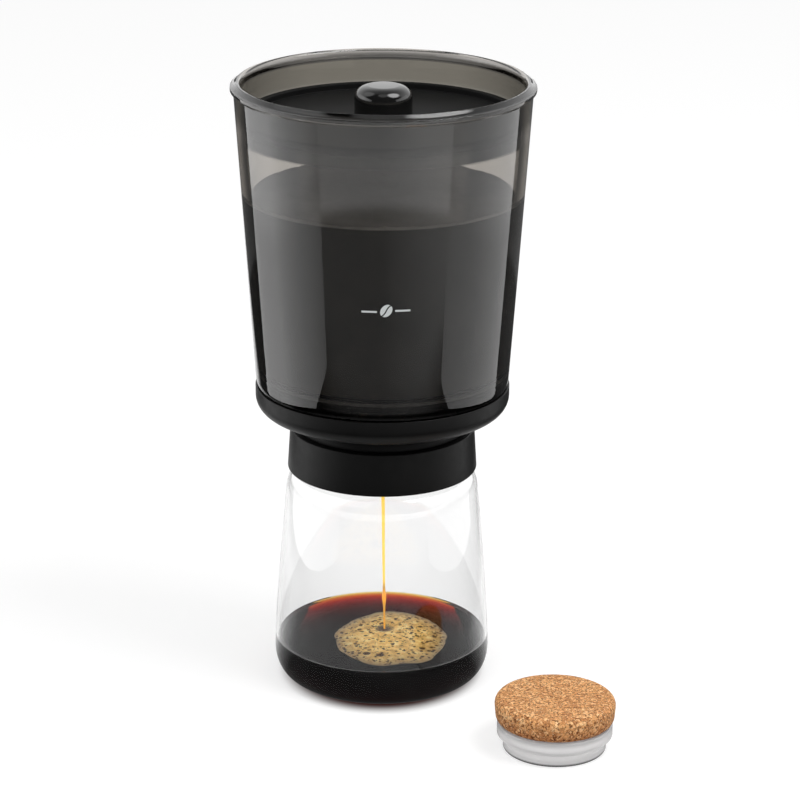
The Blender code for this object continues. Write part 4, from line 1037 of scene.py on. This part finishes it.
def make_foam(finish):
    """Golden foam round the stream: a low dome of bubbles with a crater."""
    rng = random.Random(FOAM_SEED)
    level = COFFEE_TOP - COFFEE_MENISCUS
    bubbles = [(x, y, radius) for x, y, radius in FOAM_LARGE_BUBBLES]
    while len(bubbles) < FOAM_BUBBLES:
        angle = rng.uniform(0, math.tau)
        reach = math.sqrt(rng.random())
        radius = rng.uniform(*FOAM_FINE) if rng.random() < FOAM_FINE_SHARE else rng.uniform(*FOAM_COARSE)
        bubbles.append((FOAM_PLACE[0] + FOAM_HALF_SIZE[0] * reach * math.cos(angle),
                        FOAM_PLACE[1] + FOAM_HALF_SIZE[1] * reach * math.sin(angle), radius))
    grid = {}
    for bubble in bubbles:
        key = (round(bubble[0] / FOAM_CELL), round(bubble[1] / FOAM_CELL))
        grid.setdefault(key, []).append(bubble)
    shape = bmesh.new()
    pits = []
    edges = []
    loops = []
    for ring in range(FOAM_RINGS + 1):
        share = ring / FOAM_RINGS
        loop = []
        for k in range(FOAM_SEGMENTS):
            angle = math.tau * k / FOAM_SEGMENTS
            direction = Vector((math.cos(angle), math.sin(angle), 0))
            wobble = 1 + sum(height * noise.noise(direction * scale) for height, scale in FOAM_UNEVEN_SHARES)
            x = FOAM_PLACE[0] + FOAM_HALF_SIZE[0] * wobble * share * direction.x
            y = FOAM_PLACE[1] + FOAM_HALF_SIZE[1] * wobble * share * direction.y
            dome = FOAM_HEIGHT * (1 - share ** 6) * (0.55 + 0.45 * (1 - share))
            away = math.hypot(x - FOAM_CRATER[0], y - FOAM_CRATER[1]) / FOAM_CRATER_RADIUS
            dome -= FOAM_CRATER_DEPTH * math.exp(-away ** 4) if away < 3 else 0
            pit = max(0.0, 0.8 - away ** 3) if away < 1 else 0.0
            home = (round(x / FOAM_CELL), round(y / FOAM_CELL))
            for near in ((home[0] + i, home[1] + j) for i in (-1, 0, 1) for j in (-1, 0, 1)):
                for bx, by, radius in grid.get(near, ()):
                    depth = 1 - math.hypot(x - bx, y - by) / radius
                    if depth > 0:
                        pit = max(pit, min(1.0, depth * 4.0))
                        dome -= radius * 0.5 * min(1.0, depth * 2) * (1 - share ** 4)
                    elif depth > -0.5:
                        dome += radius * 0.12 * (1 + depth * 2) * (1 - share ** 4)
            height = level + CONTENTS_GAP + max(dome, CONTENTS_GAP * (1 - share))
            loop.append(shape.verts.new((x, y, height)))
            pits.append(pit)
            edges.append(share ** 4)
        loops.append(loop)
    for inner, outer in zip(loops, loops[1:]):
        for k in range(FOAM_SEGMENTS):
            shape.faces.new((inner[k - 1], outer[k - 1], outer[k], inner[k]))
    under = [shape.verts.new((vert.co.x, vert.co.y, level + CONTENTS_GAP / 2)) for vert in loops[-1]]
    for k in range(FOAM_SEGMENTS):
        shape.faces.new((loops[-1][k - 1], under[k - 1], under[k], loops[-1][k]))
    shape.faces.new(reversed(under))
    pit_layer = shape.verts.layers.float.new("pit")
    edge_layer = shape.verts.layers.float.new("edge")
    for vert, pit, edge in zip(shape.verts, pits + [0.0] * FOAM_SEGMENTS, edges + [1.0] * FOAM_SEGMENTS):
        vert[pit_layer] = pit
        vert[edge_layer] = edge
    place("foam", mesh_from(shape, "foam"), finish, "carafe", None)


def on_container(across, height, raise_by):
    """A point on the container's front, an arc's length across from the middle."""
    radius = container_radius(height) + raise_by
    angle = across / container_radius(height)
    return Vector((radius * math.sin(angle), -radius * math.cos(angle), height))


def printed(name, outlines, finish):
    """Flat marks that follow the container's wall."""
    shape = bmesh.new()
    for outline in outlines:
        face = shape.faces.new([shape.verts.new(on_container(x, y, MARK_RAISE)) for x, y in outline])
        raised = bmesh.ops.extrude_face_region(shape, geom=[face])["geom"]
        for part in raised:
            if isinstance(part, bmesh.types.BMVert):
                outward = Vector((part.co.x, part.co.y, 0)).normalized()
                part.co += outward * MARK_THICKNESS
    bmesh.ops.triangulate(shape, faces=shape.faces)
    place(name, mesh_from(shape, name), finish, "brewer", None)


def make_marks(finish):
    """The fill line: a coffee bean between two dashes."""
    outlines = []
    for left, right, middle in (LEFT_DASH, RIGHT_DASH):
        half = DASH_WIDTH / 2
        across = [left + (right - left) * step / DASH_STEPS for step in range(DASH_STEPS + 1)]
        line = [(x, middle - half) for x in across]
        line += [(x, middle + half) for x in reversed(across)]
        outlines.append(line)
    for side in (-1, 1):
        half_bean = []
        for step in range(BEAN_STEPS + 1):
            turn = math.pi * step / BEAN_STEPS
            half_bean.append((BEAN_LENGTH / 2 * math.cos(turn),
                              side * max(BEAN_BREADTH / 2 * math.sin(turn), BEAN_SPLIT / 2)))
        for step in range(1, BEAN_STEPS):
            along = -BEAN_LENGTH / 2 + BEAN_LENGTH * step / BEAN_STEPS
            curl = BEAN_CURL_SHARE * BEAN_BREADTH * math.sin(math.tau * along / BEAN_LENGTH)
            half_bean.append((along, side * BEAN_SPLIT / 2 + curl))
        cos, sin = math.cos(BEAN_TILT), math.sin(BEAN_TILT)
        outlines.append([(BEAN_CENTRE + x * cos - y * sin, MARK_HEIGHT + x * sin + y * cos)
                         for x, y in half_bean])
    printed("fill_mark", outlines, finish)


def make_spring(steel):
    """The valve's coil spring, made in place of the CAD spring; it rides on no body."""
    points = SPRING_TURNS * SPRING_TURN_POINTS
    sides = SPRING_WIRE_SIDES
    rise = SPRING_TOP - SPRING_BOTTOM
    shape = bmesh.new()
    loops = []
    for index in range(points + 1):
        angle = math.tau * index / SPRING_TURN_POINTS
        out = Vector((math.cos(angle), math.sin(angle), 0))
        middle = out * SPRING_RADIUS + Vector((0, 0, SPRING_BOTTOM + rise * index / points))
        loop = []
        for k in range(sides):
            turn = math.tau * k / sides
            loop.append(shape.verts.new(middle + SPRING_WIRE * (out * math.cos(turn)
                                                                + Vector((0, 0, math.sin(turn))))))
        loops.append(loop)
    for first, second in zip(loops, loops[1:]):
        for k in range(sides):
            shape.faces.new((first[k], first[k - 1], second[k - 1], second[k]))
    shape.faces.new(loops[0])
    shape.faces.new(loops[-1])
    mesh = mesh_from(shape, "spring")
    mesh.materials.append(steel)
    mesh.shade_smooth()
    made = bpy.data.objects.new("spring", mesh)
    bpy.context.scene.collection.objects.link(made)
    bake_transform(made)
    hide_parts("valve_spring")


def dress_frame(finishes):
    """Gives the CAD nodes their finishes, by their own name or else by their slot."""
    slots = {row["node"]: row["material_slot"] for row in frame["record"]["subparts"]}
    for name, node in frame["nodes"].items():
        node.data.materials.clear()
        node.data.materials.append(finishes.get(name, finishes[slots[name]]))


def make_floor():
    """Pale floor that keeps the shadow, with a painted contact shadow where the carafe stands on it.
    Mirrors see it lit behind the object, and dim in front."""
    mesh = bpy.data.meshes.new("studio_floor")
    reach = FLOOR_REACH
    mesh.from_pydata([(-reach, -reach, 0), (reach, -reach, 0), (reach, reach, 0), (-reach, reach, 0)],
                     [], [(0, 1, 2, 3)])
    floor = bpy.data.objects.new("studio_floor", mesh)
    bpy.context.scene.collection.objects.link(floor)
    made, nodes, shader, where = material("studio_floor", Base_Color=gray(0.5), Roughness=0.9,
                                          Specular_IOR_Level=0.0)
    aside, back, _ = nodes.add("ShaderNodeSeparateXYZ", where).outputs
    across, _ = polar(nodes, where)
    sweep = nodes.math("MULTIPLY", nodes.range(aside, SWEEP_LEFT - SWEEP_FADE, SWEEP_LEFT),
                       nodes.range(aside, SWEEP_RIGHT, SWEEP_RIGHT + SWEEP_FADE, 1.0, 0.0))
    sweep = nodes.math("MULTIPLY", sweep, nodes.range(back, SWEEP_FRONT - SWEEP_FADE, SWEEP_FRONT))
    apron = nodes.range(across, APRON_START, APRON_END, 0.0, APRON_LEVEL, smooth=True)
    ground = nodes.math("MULTIPLY", nodes.range(aside, *GROUND_ASIDE, *GROUND_LEVELS),
                        nodes.range(across, *GROUND_REACH, GROUND_NEAR_LEVEL, 1.0, smooth=True))
    apron = nodes.math("ADD", apron, ground)
    apron = nodes.math("MULTIPLY", apron, nodes.range(back, *APRON_BACK, 1.0, APRON_BACK_LEVEL))
    ring = nodes.math("MULTIPLY", nodes.range(across, *RING_INNER, *RING_LEVELS, smooth=True),
                      nodes.range(across, *RING_OUTER, 1.0, 0.0, smooth=True))
    apron = nodes.math("MAXIMUM", apron, ring)
    mirrored = nodes.math("MAXIMUM", sweep, apron)
    rays = nodes.add("ShaderNodeLightPath").outputs
    seen = nodes.math("MAXIMUM", rays["Is Camera Ray"], rays["Is Transmission Ray"])
    reflected = nodes.math("SUBTRACT", rays["Is Glossy Ray"], rays["Is Transmission Ray"], clamp=True)
    beyond = nodes.range(nodes.math("ABSOLUTE", aside), SEEN_THROUGH, SEEN_THROUGH_END, smooth=True)
    beyond = nodes.math("MULTIPLY", beyond, rays["Is Transmission Ray"])
    reflected = nodes.math("MAXIMUM", reflected, beyond)
    # Painted contact shadow under the carafe, tinted dark red-brown, narrower at the sides.
    narrowed = nodes.add("ShaderNodeVectorMath", where, CONTACT_SHADOW_NARROWING, operation="MULTIPLY").outputs[0]
    under = nodes.range(polar(nodes, narrowed)[0], CONTACT_SHADOW_START, CONTACT_SHADOW_END, CONTACT_SHADOW_LEVEL, 1.0,
                        smooth=True)
    glow = nodes.add("ShaderNodeEmission", gray(1.0), nodes.math("MULTIPLY", seen, FLOOR_GLOW))
    lit = nodes.add("ShaderNodeAddShader", shader.outputs[0], glow.outputs[0])
    dim = nodes.add("ShaderNodeEmission", rgb(0.06, 0.015, 0.01), nodes.math("MULTIPLY", seen, CONTACT_SHADOW_GLOW))
    lit = nodes.add("ShaderNodeMixShader", under, dim.outputs[0], lit.outputs[0])
    mirror = nodes.add("ShaderNodeEmission", gray(1.0), mirrored)
    shade = nodes.add("ShaderNodeMixShader", reflected, lit.outputs[0], mirror.outputs[0])
    made.node_tree.links.new(shade.outputs[0], made.node_tree.nodes["Material Output"].inputs[0])
    mesh.materials.append(made)


def make_softbox(name, x, reach, levels, fall):
    """An upright softbox beside the object that only mirrors see, brightest beside the object."""
    front, back = reach
    mesh = bpy.data.meshes.new(name)
    mesh.from_pydata([(x, front, SOFTBOX_BOTTOM), (x, back, SOFTBOX_BOTTOM),
                      (x, back, SOFTBOX_TOP), (x, front, SOFTBOX_TOP)], [], [(0, 1, 2, 3)])
    box = bpy.data.objects.new(name, mesh)
    bpy.context.scene.collection.objects.link(box)
    made, nodes, _, where = material(name)
    _, along, up = nodes.add("ShaderNodeSeparateXYZ", where).outputs
    level = nodes.range(along, front, 0.0, *levels)
    level = nodes.math("MULTIPLY", level, nodes.range(along, 0.0, SOFTBOX_FALL_REACH, 1.0, fall))
    level = nodes.math("MULTIPLY", level,
                       nodes.range(up, *SOFTBOX_RISE, 1.0, SOFTBOX_UPPER_SHARE, smooth=True))
    glow = nodes.add("ShaderNodeEmission", gray(1.0), level)
    made.node_tree.links.new(glow.outputs[0], made.node_tree.nodes["Material Output"].inputs[0])
    mesh.materials.append(made)
    box.visible_camera = False
    box.visible_diffuse = False
    box.visible_shadow = False
    box.visible_transmission = False
    box.visible_volume_scatter = False


def make_world():
    """White for the camera and through glass, soft light from all sides, and in mirrors
    a white backdrop with three softboxes overhead."""
    world = bpy.data.worlds.new("studio")
    bpy.context.scene.world = world
    world.use_nodes = True
    nodes = Nodes(world.node_tree)
    background = world.node_tree.nodes["Background"]
    rays = nodes.add("ShaderNodeLightPath").outputs
    direction = nodes.add("ShaderNodeTexCoord").outputs["Generated"]
    _, back, up = nodes.add("ShaderNodeSeparateXYZ", direction).outputs
    backdrop = nodes.math("MULTIPLY", nodes.range(back, *BACKDROP_START, smooth=True),
                          nodes.range(up, *BACKDROP_HEIGHT, *BACKDROP_LEVELS))
    mirrored = nodes.math("ADD", backdrop, DARK_STUDIO_LEVEL)
    for aim, level, edge in OVERHEAD_SOFTBOXES:
        near = nodes.add("ShaderNodeVectorMath", direction, Vector(aim).normalized(),
                         operation="DOT_PRODUCT").outputs["Value"]
        softbox = nodes.range(near, edge, OVERHEAD_CORE, 0.0, level, smooth=True)
        mirrored = nodes.math("MAXIMUM", mirrored, softbox)
    seen = nodes.math("MAXIMUM", rays["Is Camera Ray"], rays["Is Transmission Ray"])
    level = nodes.mix(rays["Is Glossy Ray"], gray(SOFT_LIGHT_LEVEL), mirrored)
    level = nodes.mix(seen, level, gray(1.0))
    world.node_tree.links.new(level, background.inputs["Strength"])
    background.inputs["Color"].default_value = gray(1.0)


def make_lamp(name, place_at, aim, size, power):
    """A soft square lamp that mirrors don't show."""
    lamp = bpy.data.lights.new(name, "AREA")
    lamp.shape = "SQUARE"
    lamp.size = size
    lamp.energy = power
    holder = bpy.data.objects.new(name, lamp)
    holder.location = place_at
    holder.rotation_euler = (Vector(aim) - Vector(place_at)).to_track_quat("-Z", "Y").to_euler()
    holder.visible_glossy = False
    holder.visible_camera = False
    bpy.context.scene.collection.objects.link(holder)


def make_camera():
    """The photograph's viewpoint."""
    lens = bpy.data.cameras.new("camera")
    lens.lens = CAMERA_LENS
    lens.clip_end = FLOOR_REACH * 4
    holder = bpy.data.objects.new("camera", lens)
    holder.location = CAMERA_PLACE
    turn = Matrix.Rotation(CAMERA_TILT, 3, "X") @ Matrix.Rotation(CAMERA_ROLL, 3, "Z")
    holder.rotation_euler = turn.to_euler()
    bpy.context.scene.collection.objects.link(holder)
    bpy.context.scene.camera = holder


def build():
    """Makes the finishes, the pieces and the studio."""
    finishes = {
        "clear_glass": clear_glass(),
        "smoke_tint": smoke_tint(),
        "satin_black": satin_black(),
        "gloss_black": gloss_black(),
        "grey_silicone": grey_silicone(),
        "clear_silicone": clear_silicone(),
        "stainless_steel": stainless_steel(),
        "filter_mesh": woven_steel(),
        "cork": cork_grain(),
        "white_plastic": white_plastic(),
    }
    dress_frame(finishes)
    make_carafe(finishes["clear_glass"])
    make_container(finishes["smoke_tint"])
    make_drain_base(finishes["satin_black"])
    make_lid(matt_black(), finishes["gloss_black"])
    make_stopper(finishes["cork"], finishes["clear_silicone"])
    make_spring(finishes["stainless_steel"])
    make_grounds(wet_grounds())
    make_coffee(brewed_coffee())
    make_stream(coffee_stream())
    make_foam(foam_finish())
    make_marks(pale_print())
    make_floor()
    make_softbox("left_softbox", -SOFTBOX_SIDE, LEFT_SOFTBOX_REACH, LEFT_SOFTBOX_LEVELS, LEFT_SOFTBOX_FALL)
    make_softbox("right_softbox", SOFTBOX_SIDE, RIGHT_SOFTBOX_REACH, RIGHT_SOFTBOX_LEVELS, RIGHT_SOFTBOX_FALL)
    make_world()
    make_lamp("key_lamp", KEY_LAMP_PLACE, LAMP_AIM, KEY_LAMP_SIZE, KEY_LAMP_POWER)
    make_lamp("fill_lamp", FILL_LAMP_PLACE, LAMP_AIM, FILL_LAMP_SIZE, FILL_LAMP_POWER)
    make_camera()
    bpy.context.scene.view_settings.view_transform = "Standard"


build()
